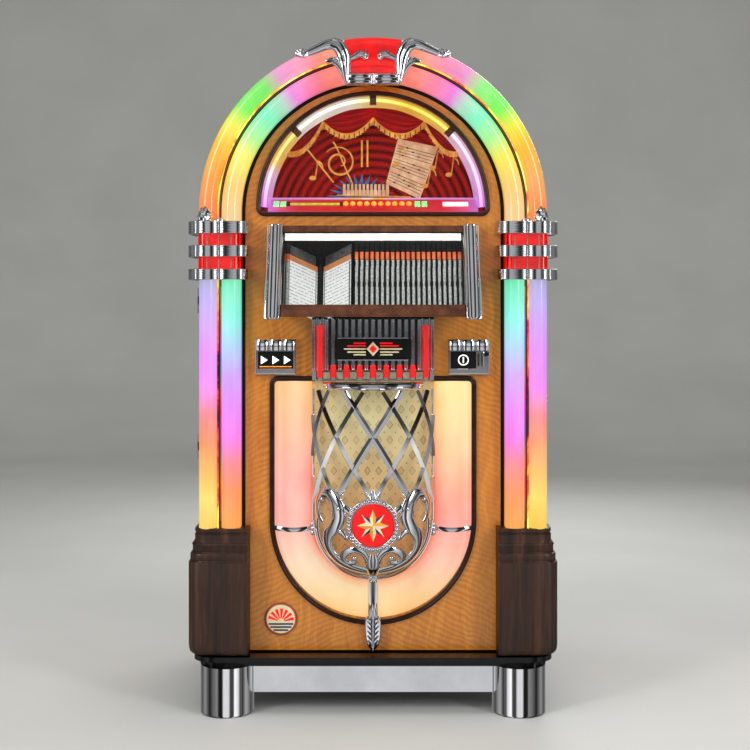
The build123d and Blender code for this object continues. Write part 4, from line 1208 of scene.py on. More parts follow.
def rack_brick(pile, x0, x1, u0, u1, n0, n1):
    """A box in the rack's leaning frame, front edges eased."""
    edge = 0.5
    rows = []
    for n, e in ((n0, 0), (n1 - edge, 0), (n1, edge)):
        corners = ((x0 + e, u0 + e), (x1 - e, u0 + e), (x1 - e, u1 - e), (x0 + e, u1 - e))
        rows.append([rack_point(x, u, n) for x, u in corners])
    return pile.solid(rows)


def page_strip(pile, degrees, r0, r1, u0, u1, lift=1.15, thick=0.5):
    """A thin card on the open face of a page that stands out from the spine."""
    a = math.radians(degrees)
    side = 1 if degrees < 0 else -1
    normal = (side * math.cos(a), -side * math.sin(a))
    n0 = SPINE.dot(RACK_N)
    u_shift = SPINE.dot(RACK_U)

    def spot(r, u, up):
        x = SPINE.x + r * math.sin(a) + normal[0] * up
        n = n0 + r * math.cos(a) + normal[1] * up
        return rack_point(x, u + u_shift, n)

    rows = []
    for up in (lift - 0.1, lift + thick):
        rows.append([spot(r0, u0, up), spot(r1, u0, up), spot(r1, u1, up), spot(r0, u1, up)])
    return pile.solid(rows)


PAGE_FOOT_U = -82.0


def make_pages():
    """The open pair of title pages, with metal heads, bands and ruled cards, and the stack beside it."""
    for degrees, body, tag in ((-43, "turning_page", "left"), (43, "front_door", "right")):
        papers, bands, heads, rivets = Pile(), Pile(), Pile(), Pile()
        page_strip(papers, degrees, 12, 106, PAGE_FOOT_U, 41)
        page_strip(bands, degrees, 12, 106, 41.5, 55, 1.4)
        page_strip(heads, degrees, 19, 108, 56, 79, 1.2, 1.2)
        page_strip(heads, degrees, 15, 17.5, PAGE_FOOT_U, 56, 1.5, 0.2)
        page_strip(heads, degrees, 100, 104, PAGE_FOOT_U + 4, 38, 1.7, 0.4)
        for r in (34, 80):
            page_strip(rivets, degrees, r - 3, r + 3, 63, 69, 2.4, 1.0)
        for r in (30, 52, 66, 96):
            page_strip(rivets, degrees, r - 4, r + 4, 76, 78.5, 2.4, 0.6)
        papers.build(f"title_cards_{tag}", PAPER, "page_board", body)
        bands.build(f"title_bands_{tag}", PALE_ORANGE, "page_board", body)
        heads.build(f"title_head_{tag}", PAGE_HEAD, "page_board", body)
        rivets.build(f"title_rivets_{tag}", STEEL, "page_board", body)
    edges, bands, tops, gaps = Pile(), Pile(), Pile(), Pile()
    for leaf in range(21):
        x = -37 + leaf * 11.6
        rack_brick(edges, x - 3.0, x + 3.2, PAGE_FOOT_U, -36, -33, -27)
        rack_brick(edges, x - 2.4, x + 2.0, -36, -22, -33, -27.5)
        rack_brick(edges, x - 3.0, x + 3.2, -22, 14, -33, -27)
        rack_brick(edges, x - 2.0, x + 3.6, 14, 31, -33, -27.5)
        rack_brick(bands, x - 3.6, x + 3.8, 32, 51, -33, -26.5)
        rack_brick(tops, x - 4.6, x + 4.6, 52, 87, -34, -26)
        rack_brick(gaps, x + 4.6, x + 7.0, PAGE_FOOT_U, 86, -60, -31)
    for x in (-199, -194, -189):
        rack_brick(edges, x - 1.0, x + 0.6, PAGE_FOOT_U, 31, -42, -36)
        rack_brick(tops, x - 1.8, x + 1.6, 52, 80, -42, -36)
        rack_brick(bands, x - 1.4, x + 1.2, 32, 51, -42, -36)
    edges.build("stack_edges", PAGE_EDGE, "page_board")
    bands.build("stack_bands", ORANGE, "page_board")
    tops.build("stack_tops", PAGE_BLACK, "page_board")
    gaps.build("stack_gaps", PAGE_BLACK, "page_board")
    spine = Pile()
    rack_brick(spine, -125.5, -116.5, PAGE_FOOT_U, 72, -113, -106)
    rack_brick(spine, -138, -104, 72, 77, -113, -104)
    rack_brick(spine, -131, -127, 66, 72, -112, -106)
    rack_brick(spine, -115, -111, 66, 72, -112, -106)
    spine.build("page_spine", PAGE_BLACK, "black_plastic")
    lamp = Pile()
    rack_brick(lamp, -200, 200, 78, 94, -24, -18)
    lamp.build("rack_lamp", WHITE_LED, "light_tube")


def make_posts():
    """Leaning chrome posts at the rack's ends: a broad rounded face between two narrow steps."""
    z_low, z_high = low("rack_posts").z, high("rack_posts").z
    x_in, x_out = 202.5, high("rack_posts").x
    middle, half = (x_in + x_out) / 2, (x_out - x_in) / 2
    pile = Pile()
    section = [(-1.0, 12.0), (-1.0, 3.0), (-0.94, 1.4), (-0.80, 1.0)]
    for k in range(17):
        a = math.pi * (1 - k / 16)
        section.append((0.76 * math.cos(a), 0.5 - 7.5 * math.sin(a) ** 0.8))
    section += [(0.80, 1.0), (0.94, 1.4), (1.0, 3.0), (1.0, 12.0)]
    for side in (-1, 1):
        rows = []
        rise = z_high - z_low
        for z, pull in (
            (z_low - 5, 0.80), (z_low - 3, 0.93), (z_low + 1, 1.0), (z_low + rise * 0.3, 1.0),
            (z_low + rise * 0.7, 1.0), (z_high - 3, 1.0), (z_high, 0.93), (z_high + 1, 0.80),
        ):
            y_face = RACK_C.y + (z - RACK_C.z) * math.tan(LEAN)
            y_back = min(PANEL_Y, y_face + 26)
            row = [(side * (middle + half * s * pull), y_face + depth / pull, z) for s, depth in section]
            rows.append(row + [(side * x_out, y_back, z), (side * x_in, y_back, z)])
        pile.solid(rows)
        foot_y = RACK_C.y + (z_low - RACK_C.z) * math.tan(LEAN)
        x0, x1 = sorted((side * (x_in + 1), side * (x_out - 1)))
        pile.brick(x0, x1, foot_y + 1, foot_y + 27, z_low - 5, z_low, 2)
    posts = pile.build("rack_posts_rounded", CHROME, "chrome", degrees=40)
    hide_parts("rack_posts")


make_crown()
make_crown_cap()
make_dome_trim()
make_curtain()
make_backdrop_art()
make_fascia()
make_pages()
make_posts()


# ---------------------------------------------------------------- fluted panel, keys and boxes


def make_fluted_panel():
    """Chrome panel of rounded flutes over a row of key windows, with black strips of painted shade in the
    valleys between the flutes.
    """
    bottom, top = low("fluted_panel").z, high("fluted_panel").z
    half = high("fluted_panel").x
    base = TRIM_Y
    wood = PANEL_Y - 0.3
    split = bottom + 21.5
    pitch, key_pitch = 15, 30
    steps = 277
    rows = []
    for i in range(steps):
        x = -half + 2 * half * i / (steps - 1)
        local = (x + pitch / 2) % pitch - pitch / 2
        flute = math.sqrt(max(0, 6.6**2 - local**2)) * 1.3
        y = base - flute
        rows.append([
            (x, wood, split), (x, base, split), (x, (y + base) / 2, split + 0.2), (x, y, split + 2.5),
            (x, y, split + 6), (x, y, top - 7), (x, y, top - 4), (x, y * 0.7 + base * 0.3, top - 1.5),
            (x, base, top - 0.4), (x, wood, top),
        ])
    pile = Pile().solid(rows)
    panel = pile.build("fluted_chrome", CHROME, "chrome", degrees=60)
    # Black strips in the flute valleys: painted shade where the valleys fall dark between the rounded flutes.
    valley_shade = Pile()
    for k in range(-7, 7):
        x = pitch * (k + 0.5)
        valley_shade.brick(x - 2.6, x + 2.6, base - 5.2, base, split + 3, top - 4)
    valley_shade.build("flute_valley_shade", PAGE_BLACK, "black_lacquer")
    frame_bars = Pile()
    for k in range(-4, 5):
        x = k * key_pitch
        frame_bars.brick(x - 5.5, x + 5.5, base - 3, wood, bottom, split)
    frame_bars.brick(-half, half, base - 2, wood, bottom, bottom + 1.4)
    frame_bars.brick(-half, half, base - 2, wood, split - 1, split + 1)
    for side in (-1, 1):
        x0, x1 = sorted((side * half, side * (half - 10)))
        frame_bars.brick(x0, x1, base - 4, wood, bottom, split)
    frame_bars.build("key_windows", CHROME, "chrome")
    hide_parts("fluted_panel")
    inserts = Pile()
    for k in range(-4, 5):
        rise = 874 if abs(k) == 4 else 784
        x = k * key_pitch
        y = base - 8.5
        rows = []
        for z, w in ((755, 5.2), (757, 6.0), (rise - 2, 6.0), (rise, 5.2)):
            rows.append([
                (x - w, y + 4, z), (x - w, y - 1, z), (x - (w - 1.2), y - 3, z),
                (x + (w - 1.2), y - 3, z), (x + w, y - 1, z), (x + w, y + 4, z),
            ])
        inserts.solid(rows)
    inserts.build("red_inserts", RED_PLASTIC, "red_translucent")


def make_nameplate():
    """Black plate with a plain stepped-bar ornament."""
    y = TRIM_Y - 13
    half, middle = 80, 820.5
    plate = Pile().brick(-half, half, y, TRIM_Y - 2, middle - 23.5, middle + 23.5, 1.5)
    plate.build("nameplate", BLACK_GLOSS, "black_lacquer")
    rim = Pile()
    for z in (middle - 25, middle + 25):
        rim.tube([(-half, y, z), (half, y, z)], 1.3, 8)
    rim.build("nameplate_rim", CHROME, "chrome")
    bars, reds = Pile(), Pile()
    for k, (reach, rise) in enumerate(((66, 0), (58, 7), (58, -7), (44, 13), (44, -13))):
        for side in (-1, 1):
            x0, x1 = sorted((side * 16, side * reach))
            group = bars if k % 2 == 0 else reds
            z = middle + rise
            group.brick(x0, x1, y - 1.6, y + 0.2, z - 1.7, z + 1.7)
    bars.slab([(0, middle - 16.5), (15, middle), (0, middle + 16.5), (-15, middle)], y - 2, y, 1)
    reds.slab([(0, middle - 9.5), (9, middle), (0, middle + 9.5), (-9, middle)], y - 3, y - 1, 0.8)
    bars.build("nameplate_bars", CREAM, "brown_trim")
    reds.build("nameplate_marks", RED_ENAMEL, "red_translucent")


def make_box_faces():
    """Ribs, dark windows and plain lit signs on the two chrome boxes."""
    y = low("message_box").y
    sign_z = 795.5
    button_x, button_z = 256, 809
    for name, x0, x1, w0, w1 in (("message", -266, -174, -260, -180), ("coin", 170, 263, 175, 233)):
        ribs = Pile()
        pitch = (x1 - x0) / 3
        for k in range(3):
            x = x0 + pitch * (k + 0.5)
            reach = pitch / 2 - 1.2
            path = [(x, y, 817), (x, y, 819), (x, y, 836), (x, y + 1, 840), (x, y + 2, 841.5)]
            radii = [reach * share for share in (0.9, 1, 1, 0.86, 0.55)]
            ribs.tube(path, radii, 20, squash=0.36, up=FRONT)
        ribs.brick(w0 - 2, w1 + 2, y - 1.6, y + 1, 772.5, 775.5)
        ribs.build(f"{name}_box_ribs", CHROME, "chrome")
        window = Pile().brick(w0, w1, y - 1, y + 1.8, 776, 815, 0.8)
        window.build(f"{name}_window", BLACK_GLOSS, "black_plastic")
    sign = Pile()
    for k in range(3):
        x = -246 + 26 * k
        tip = [(x - 7, sign_z - 9.5), (x + 8, sign_z), (x - 7, sign_z + 9.5)]
        sign.slab(tip, y - 1.8, y - 0.8)
    sign.build("message_sign", WHITE_LED, "light_tube")
    glow = Pile()
    glow.brick(-256, -184, y - 1.6, y - 0.8, 779.5, 781.5)
    glow.build("message_underline", ORANGE_LED, "light_tube")
    disc = Pile()
    ring = arc_points(204, sign_z, 11, 0, 360, 33)
    disc.tube([(x, y - 1.6, z) for x, z in ring[:-1]], 1.3, 6, closed=True)
    disc.brick(202.6, 205.4, y - 2, y - 0.8, sign_z - 6.5, sign_z + 6.5)
    disc.build("coin_sign", WHITE_LED, "light_tube")
    entry = Pile()
    entry.tube([(247.5, y - 2, 782), (247.5, y - 2, 812)], 3.2, 10)
    for x in (235.2, 240.8):
        entry.brick(x - 1.0, x + 1.0, y - 3, y + 1, 781, 811)
    rim = arc_points(button_x, button_z, 6.6, 0, 360, 25)
    entry.tube([(x, y - 0.5, z) for x, z in rim[:-1]], 1.2, 6, closed=True)
    entry.build("coin_entry", CHROME, "chrome")
    centre = (button_x, low("reject_button").y, button_z)
    cap = Pile().lathe([(4.9, 14), (4.9, 1.2), (4.2, 0.3), (2.5, 0)], centre, 32)
    button = cap.build("reject_cap", BLACK_PLASTIC, "black_plastic", "reject_button")
    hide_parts("reject_button")


def make_key_bar():
    """Bowed chrome bar over the grille's head."""
    z0, z1 = low("key_bar").z, high("key_bar").z
    half = high("key_bar").x + 2
    depth = high("key_bar").y - low("key_bar").y
    rows = []
    back = high("key_bar").y
    for i in range(73):
        a = math.pi * i / 72
        column = []
        for z, pull in (
            (z0, 4), (z0 + 2.5, 0.6), (z0 + 5, 0), (z0 + 6.5, 1.6), (z0 + 8, 0), (z1 - 3, 0), (z1, 4),
        ):
            reach = 1 - pull / half
            column.append((half * reach * math.cos(a), back - (depth + 6) * reach * math.sin(a) ** 0.8, z))
        column.append((half * 0.5 * math.cos(a), back, z1))
        column.append((half * 0.5 * math.cos(a), back, z0))
        rows.append(column)
    bar = Pile().solid(rows).build("key_bar_cast", CHROME, "chrome")
    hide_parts("key_bar")


# ---------------------------------------------------------------- lower front


def basket_y(x, z, proud=0.0):
    """Depth of the bulging grille's surface at a point of the front."""
    reach = math.hypot(x, min(z - LOWER_Z, 0.0)) / GRILLE_HALF
    return PANEL_Y - (GRILLE_BULGE + proud) * math.sqrt(max(1 - reach * reach, 0.0))


def on_basket(points, proud):
    """Lay a front-view path, in millimetres from the medallion's centre, on the basket."""
    return [(x, basket_y(x, LOWER_Z + z, proud), LOWER_Z + z) for x, z in points]


def sink(z):
    """The foot of the U hangs a little lower than a true half-circle."""
    return z if z > LOWER_Z else LOWER_Z + (z - LOWER_Z) * 1.025


LENS_IN, LENS_OUT = GRILLE_HALF + 1, LOWER_HALF - 10


def lens_bulge(reach):
    """How far the U lens stands out at a distance from its centre line."""
    t = min(max((reach - LENS_IN) / (LENS_OUT - LENS_IN), 0.0), 1.0)
    return 11 * math.sin(math.pi * t) ** 0.7 if 0 < t < 1 else 0.0


def make_lower_lens():
    """U-shaped lens with a soft bulge across its width."""
    path = []
    top = high("lower_lens").z
    for k in range(14):
        path.append((-1.0, 0.0, top + (LOWER_Z - top) * k / 13))
    for k in range(1, 60):
        a = math.pi + math.pi * k / 60
        path.append((math.cos(a), math.sin(a), LOWER_Z))
    for k in range(14):
        path.append((1.0, 0.0, LOWER_Z + (top - LOWER_Z) * k / 13))
    across = 12
    rows = []
    for cx, cz, z in path:
        row = []
        for k in range(across + 1):
            r = LENS_IN + (LENS_OUT - LENS_IN) * k / across
            row.append((cx * r, PANEL_Y + 4 - lens_bulge(r), sink(z + cz * r)))
        row.append((cx * LENS_OUT, PANEL_Y + 7, sink(z + cz * LENS_OUT)))
        row.append((cx * LENS_IN, PANEL_Y + 7, z + cz * LENS_IN))
        rows.append(row)
    lens = Pile().solid(rows).build("lower_lens_bowed", LOWER_LIT, "lower_lens")
    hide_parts("lower_lens")


def make_cloth():
    """Speaker cloth stretched on its board."""
    half = high("grille_cloth").x
    top = high("grille_cloth").z
    y = low("grille_cloth").y
    rows = []
    bowl, straight = 20, 40
    levels = []
    for k in range(bowl):
        a = math.pi / 2 * k / bowl
        levels.append((LOWER_Z - half * math.cos(a), max(half * math.sin(a), 2)))
    levels += [(LOWER_Z + (top - LOWER_Z) * k / (straight - 1), half) for k in range(straight)]
    for z, width in levels:
        spots = [c / 20 - 1 for c in range(41)]
        rows.append([(width * s, y - 0.8 * math.cos(s * math.pi / 2), z) for s in spots])
    cloth = Pile().grid(rows).build("stretched_cloth", CLOTH, "speaker_cloth")
    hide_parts("grille_cloth")


def make_grille():
    """Chrome lattice of ridged bars on a half-round basket, with its side rails and double rim."""
    pile = Pile()
    pitch = 37.5
    crossings = (762, 694, 627, 556, 486, 430)

    def bar_path(start, step):
        """Angle and height of one diagonal, from the head down."""
        points = []
        for row, (z0, z1) in enumerate(zip(crossings, crossings[1:])):
            for part in range(6):
                t = part / 6
                points.append((start + step * (row + t) * pitch / 2, z0 + (z1 - z0) * t))
        return points

    for first in range(-6, 7):
        for step in (-1, 1):
            path = []
            for angle, z in bar_path(first * pitch, step):
                x = GRILLE_HALF * 0.985 * math.sin(math.radians(angle))
                if abs(angle) <= 88 and LOWER_Z + 36 <= z <= GRILLE_TOP - 2:
                    path.append((x, basket_y(x, z), z))
            if len(path) > 3:
                middle = path[len(path) // 2]
                outward = Vector((middle[0], middle[1] - PANEL_Y, 0)).normalized()
                pile.tube(path, 7.4, 4, squash=0.75, up=outward)
    for side in (-1, 1):
        x = side * (GRILLE_HALF - 2)
        heights = [LOWER_Z + (GRILLE_TOP - LOWER_Z) * k / 12 for k in range(13)]
        pile.tube([(x, basket_y(x, LOWER_Z) - 2, z) for z in heights], 3.2, 8)
    rim = arc_points(0, LOWER_Z, 133, 180, 360, 61)
    pile.tube([(x, PANEL_Y - 14, z) for x, z in rim], 4.5, 10, squash=0.8)
    inner_rim = arc_points(0, LOWER_Z, 133 * 0.93, 180, 360, 61)
    pile.tube([(x, PANEL_Y - 30, z) for x, z in inner_rim], 2.4, 8)
    lattice = pile.build("grille_lattice", CHROME, "chrome", degrees=25)
    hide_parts("grille")


def band(pile, path, widths, proud):
    """A rounded band that follows the basket at a height proud of it."""
    squash = 0.42
    line = smooth_path(on_basket(path, proud), 6)
    count = len(line)
    radii = [w / 2 for w in even_widths(widths, count)]
    rows = []
    sides = 14
    for k, here in enumerate(line):
        ahead = line[min(k + 1, count - 1)]
        behind = line[max(k - 1, 0)]
        along = (ahead - behind).normalized()
        down = min(here.z - LOWER_Z, 0)
        reach = math.hypot(here.x, down) / GRILLE_HALF
        slope = GRILLE_BULGE / GRILLE_HALF * reach / math.sqrt(max(1 - reach * reach, 0.04))
        size = math.hypot(here.x, down) or 1.0
        outward = Vector((slope * here.x / size, -1, slope * down / size)).normalized()
        side = along.cross(outward).normalized()
        ring = []
        for s in range(sides):
            a = math.tau * s / sides
            ring.append(here + side * radii[k] * math.cos(a) + outward * radii[k] * squash * math.sin(a))
        rows.append(ring)
    pile.solid(rows)


def make_scrolls():
    """Cast scrollwork: two big S-bands, two spirals, crescents to the medallion, and a stem."""
    pile = Pile()
    big = [
        (-112, 46), (-120, 54), (-114, 65), (-98, 66), (-84, 52), (-77, 33), (-76, 14), (-85, -6),
        (-97, -22), (-101, -40), (-96, -61), (-78, -83), (-52, -97), (-22, -105), (-4, -106),
    ]
    big_widths = [9, 15, 21, 27, 33, 37, 35, 32, 29, 26, 25, 24, 22, 19, 16]
    spiral = [
        (-4, -104), (-8, -84), (-15, -69), (-27, -59), (-42, -56), (-57, -61),
        (-66, -72), (-63, -84), (-51, -89), (-41, -84), (-41, -75), (-48, -72),
    ]
    spiral_widths = [20, 20, 18, 16, 16, 17, 18, 17, 15, 12, 9, 6]
    crescent = [(-92, -22), (-78, -16), (-66, -20), (-57, -30), (-48, -30)]
    crown = [(-76, 30), (-71, 36), (-62, 37), (-52, 30)]
    lip = [(-78, -92), (-96, -76), (-113, -54), (-122, -28), (-124, 0), (-118, 22)]
    spur = [(-74, 34), (-80, 50), (-88, 66)]
    horn = [(-84, 54), (-98, 64), (-113, 62), (-122, 50), (-124, 32), (-120, 14), (-112, 2)]
    for path, widths, proud in (
        (big, big_widths, 5), (spiral, spiral_widths, 6), (crescent, [9, 12, 14, 12, 9], 5),
        (crown, [16, 20, 20, 16], 5), (lip, [8, 12, 14, 14, 12, 6], 2), (spur, [16, 14, 9], 5),
        (horn, [16, 22, 23, 22, 19, 14, 7], 3),
    ):
        band(pile, path, widths, proud)
        band(pile, [(-x, z) for x, z in path], widths, proud)
    band(pile, [(0, -66), (0, -80), (0, -96), (0, -114)], [14, 28, 34, 22], 8)
    for side in (-1, 1):
        for x, z, size in ((-41, -76, 6), (-113, 52, 6), (-74, 34, 8), (-56, -28, 6)):
            spot = on_basket([(side * x, z)], 8)[0]
            pile.ball(spot, size, (1, 0.7, 1), 6, 12)
    band(pile, [(0, 58), (0, 66), (0, 74), (0, 80)], [20, 14, 9, 3], 6)
    for side in (-1, 1):
        band(pile, [(side * 8, 58), (side * 14, 66), (side * 17, 74)], [9, 8, 4], 6)
    pile.build("grille_scrolls", CHROME, "chrome", degrees=60)


def make_medallion():
    """Beaded chrome ring round a red enamel disc with an eight-point star."""
    y = low("medallion").y
    radius, bead_reach = high("medallion").x, 53
    centre = (0, y, LOWER_Z)
    ring = Pile()
    ring.lathe([
        (radius * 0.6, 11), (radius - 1, 11), (radius, 8), (radius - 1, 3.5), (radius - 3, 1.5),
        (48.5, 1.5), (47, 2.5), (46, 6), (30, 6),
    ], centre, 96)
    beads = 40
    for k in range(beads):
        a = math.tau * k / beads
        spot = (bead_reach * math.cos(a), y + 0.6, LOWER_Z + bead_reach * math.sin(a))
        ring.ball(spot, 3.7, (1, 0.8, 1), 6, 10)
    rim = arc_points(0, LOWER_Z, 57.6, 0, 360, 65)
    ring.tube([(x, y + 1.8, z) for x, z in rim[:-1]], 1.6, 8, closed=True)
    medal = ring.build("medallion_ring", CHROME, "chrome", degrees=50)
    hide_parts("medallion")
    disc = Pile().lathe([(46, 5.5), (45.6, 3), (44, 1.8), (20, 1.1), (1, 1)], centre, 64)
    disc.build("medallion_disc", RED_ENAMEL, "red_translucent")
    gold, cream, navy = Pile(), Pile(), Pile()

    def point(angle, reach, waist, spread, group_a, group_b, lift):
        """One point of the star: two facets that meet in a ridge, one in each group's colour."""
        tip = (reach * math.cos(angle), y + 0.6, LOWER_Z + reach * math.sin(angle))
        for sign, group in ((1, group_a), (-1, group_b)):
            b = angle + sign * spread
            side = (waist * math.cos(b), y + 0.6, LOWER_Z + waist * math.sin(b))
            top = (0, y - 2.6 + lift, LOWER_Z)
            start = len(group.verts)
            under = (side[0] * 0.5, y + 0.9, LOWER_Z + (side[2] - LOWER_Z) * 0.5)
            group.verts += [top, side, tip, under]
            group.faces += [(start, start + 1, start + 2), (start, start + 2, start + 3),
                            (start, start + 3, start + 1), (start + 1, start + 3, start + 2)]

    for k in range(4):
        angle = math.pi / 4 + math.pi / 2 * k
        pair = (cream, navy) if k % 2 else (navy, cream)
        point(angle, 35.5, 13, math.pi / 5, *pair, 1.2)
    for k in range(4):
        pair = (cream, gold) if k % 2 else (gold, cream)
        point(math.pi / 2 * k, 35.5, 13.5, math.pi / 4, *pair, 0)
    gold.build("star_gold", GOLD, "brown_trim", smooth=False)
    cream.build("star_cream", CREAM, "brown_trim", smooth=False)
    navy.build("star_navy", NAVY, "brown_trim", smooth=False)


def make_pendant():
    """Cast leaf that hangs from the basket's foot over the lens and the wood."""
    y = low("pendant_leaf").y
    pile = Pile()
    stations = [
        (312, 10.5), (308, 12), (302, 10.5), (296, 12), (250, 12), (217, 11), (211, 17),
        (206, 18.5), (190, 18.3), (166, 16.5), (152, 13), (145, 8.5), (140.5, 3),
    ]
    rows = []
    for z, half in stations:
        top_lift = max(0, (z - 240) / 72) ** 1.5 * 14
        row = []
        for k in range(17):
            a = math.pi * k / 16
            ridge = 1.6 * math.cos(k * math.pi / 2) if 211 < z < 308 else 1.2 * math.cos(k * math.pi / 4)
            row.append((-half * math.cos(a), y + 9 - (9 + ridge) * math.sin(a) ** 0.6 - top_lift, z))
        rows.append(row + [(half, y + 14, z), (-half, y + 14, z)])
    pile.solid(rows)
    for k in range(6):
        z = 150 + 11 * k
        for side in (-1, 1):
            vein = [(0, y - 2.2, z), (side * 7, y - 1.2, z + 7), (side * 12.5, y + 2, z + 13)]
            pile.tube(smooth_path(vein, 4), 1.5, 6)
    pile.tube([(0, y - 2.4, 146), (0, y - 2.8, 210)], 1.7, 8)
    for z in (299, 306):
        for x in (-4, 4):
            pile.ball((x, y - 12, z), 3, (1, 0.8, 1), 6, 10)
    leaf = pile.build("pendant_cast", CHROME, "chrome", degrees=50)
    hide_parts("pendant_leaf")


def make_straps():
    """Flat chrome straps across the U lens at the basket's shoulders, bowed like the lens."""
    for side, tag in SIDES:
        pile = Pile()
        rows = []
        for k in range(25):
            reach = 136 + 90 * k / 24
            y = PANEL_Y + 3 - lens_bulge(reach)
            z = 414 - 3.5 * math.sin(math.pi * k / 24)
            section = ((2, -6), (-2.6, -5), (-4.4, -1.5), (-4.4, 1.5), (-2.6, 5), (2, 6))
            rows.append([(side * reach, y + dy, z + dz) for dy, dz in section])
        pile.solid(rows)
        for z in (404, 414, 424):
            pile.ball((side * 136, PANEL_Y - 12, z), 7, (0.9, 0.8, 1), 6, 12)
        pile.build(f"lens_strap_{tag}", CHROME, "chrome")


def make_lower_trim():
    """Two-step brown rim of the U, rounded at its top corners."""
    top = high("lower_trim").z
    y = (TRIM_Y + PANEL_Y) / 2
    pile = Pile()
    for radius, thick, y_shift in ((LOWER_HALF - 3.4, 4.2, 0), (LOWER_HALF - 8.2, 2.8, -1.5)):
        corner = 15 + radius - LOWER_HALF + 4
        ceiling = top - (LOWER_HALF - radius)
        x_in = high("fluted_panel").x - 6
        path = [(-x_in, ceiling)]
        path += arc_points(-radius + corner, ceiling - corner, corner, 90, 180, 9)
        path += [(-radius, ceiling - corner + (LOWER_Z - ceiling + corner) * k / 12) for k in range(1, 12)]
        path += [(x, sink(z)) for x, z in arc_points(0, LOWER_Z, radius, 180, 360, 73)]
        path += [(radius, LOWER_Z + (ceiling - corner - LOWER_Z) * k / 12) for k in range(1, 12)]
        path += arc_points(radius - corner, ceiling - corner, corner, 0, 90, 9)
        path += [(x_in, ceiling)]
        pile.tube([(x, y + y_shift, z) for x, z in path], thick, 12, up=FRONT)
    trim = pile.build("lower_trim_rounded", BROWN, "brown_trim", degrees=50)
    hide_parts("lower_trim")


def make_badge():
    """Small round badge, low on the left: plain rings and a rising-sun fan."""
    centre = (-209, PANEL_Y - 4, 207)
    field = 30
    rim = Pile().lathe([(36, 4), (37.5, 2.5), (36.5, 0.5), (34, 0), (32.5, 1.5), (20, 1.6)], centre, 72)
    rim.build("badge_rim", BADGE_RED, "copper_brown")
    face = Pile().lathe([(33, 1.8), (32, 1.0), (1, 0.8)], centre, 48)
    face.build("badge_face", CREAM, "page_board")
    rays, base = Pile(), Pile()
    for k in range(7):
        a0 = math.radians(8 + 24 * k)
        a1 = a0 + math.radians(13)
        x, z = centre[0], centre[2] - 6
        outline = []
        for reach, a in ((8, a0), (field, a0), (field, a1), (8, a1)):
            edge = math.sqrt(max(field**2 - (reach * math.cos(a)) ** 2, 0))
            outline.append((x + reach * math.cos(a), min(z + reach * math.sin(a), centre[2] + edge)))
        rays.slab(outline, centre[1] - 0.6, centre[1] + 1)
    for k in range(3):
        z = centre[2] - (11 + 7 * k)
        half = math.sqrt(field**2 - (z - centre[2]) ** 2)
        x0, x1 = centre[0] - half, centre[0] + half
        base.brick(x0, x1, centre[1] - 0.6, centre[1] + 1, z - 1.8, z + 1.8, 0.3)
    rays.build("badge_rays", RED_ENAMEL, "red_translucent")
    base.build("badge_bars", NAVY, "black_lacquer")


def make_gasket():
    """Black line round the wood panel."""
    radius = PANEL_HALF + 3
    foot = low("door_panel").z + 2
    line = [(-radius, foot)] + arc_points(0, SPRING_Z, radius, 180, 0, 90) + [(radius, foot)]
    gasket = Pile().tube([(x, PANEL_Y - 0.6, z) for x, z in line], 3.2, 8)
    gasket.build("panel_gasket", RUBBER, "black_rubber")


make_fluted_panel()
make_nameplate()
make_box_faces()
make_key_bar()
make_lower_lens()
make_lower_trim()
make_cloth()
make_grille()
make_scrolls()
make_medallion()
make_pendant()
make_straps()
make_badge()
make_gasket()


# ---------------------------------------------------------------- stage, light, camera


def make_stage():
    """Pale floor that sweeps up into a wall behind the object."""
    p = Paint("pale_floor", Roughness=0.6)
    cloud = p.noise(p.place(), 1.5, 3.0)
    p.set(Base_Color=p.mottle(cloud, (0.60, 0.60, 0.57), (0.66, 0.66, 0.63)))
    material = p.bump(cloud, 0.2 * MM, 0.1).material
    flat_to, sweep, wall, half = 4.5, 3.0, 12.0, 16.0
    profile = [(-12.0, 0.0), (flat_to, 0.0)]
    for k in range(1, 25):
        a = math.pi / 2 * k / 24
        profile.append((flat_to + sweep * math.sin(a), sweep * (1 - math.cos(a))))
    profile.append((flat_to + sweep, wall))
    rows = [[(x, y, z) for x in (-half, half)] for y, z in profile]
    verts = [point for row in rows for point in row]
    mesh = bpy.data.meshes.new("floor")
    mesh.from_pydata(verts, [], grid_faces(len(rows), 2))
    for polygon in mesh.polygons:
        polygon.use_smooth = True
    floor = bpy.data.objects.new("floor", mesh)
    bpy.context.scene.collection.objects.link(floor)
    mesh.materials.append(material)
    floor.visible_glossy = False


def make_light(name, place, target, size, power, reflected=True):
    """A soft box that lights and is reflected, but isn't seen."""
    data = bpy.data.lights.new(name, "AREA")
    data.shape = "RECTANGLE"
    data.size, data.size_y = size
    data.energy = power
    lamp = bpy.data.objects.new(name, data)
    lamp.location = place
    lamp.rotation_euler = (Vector(target) - Vector(place)).to_track_quat("-Z", "Y").to_euler()
    lamp.visible_camera = False
    lamp.visible_glossy = reflected
    bpy.context.scene.collection.objects.link(lamp)


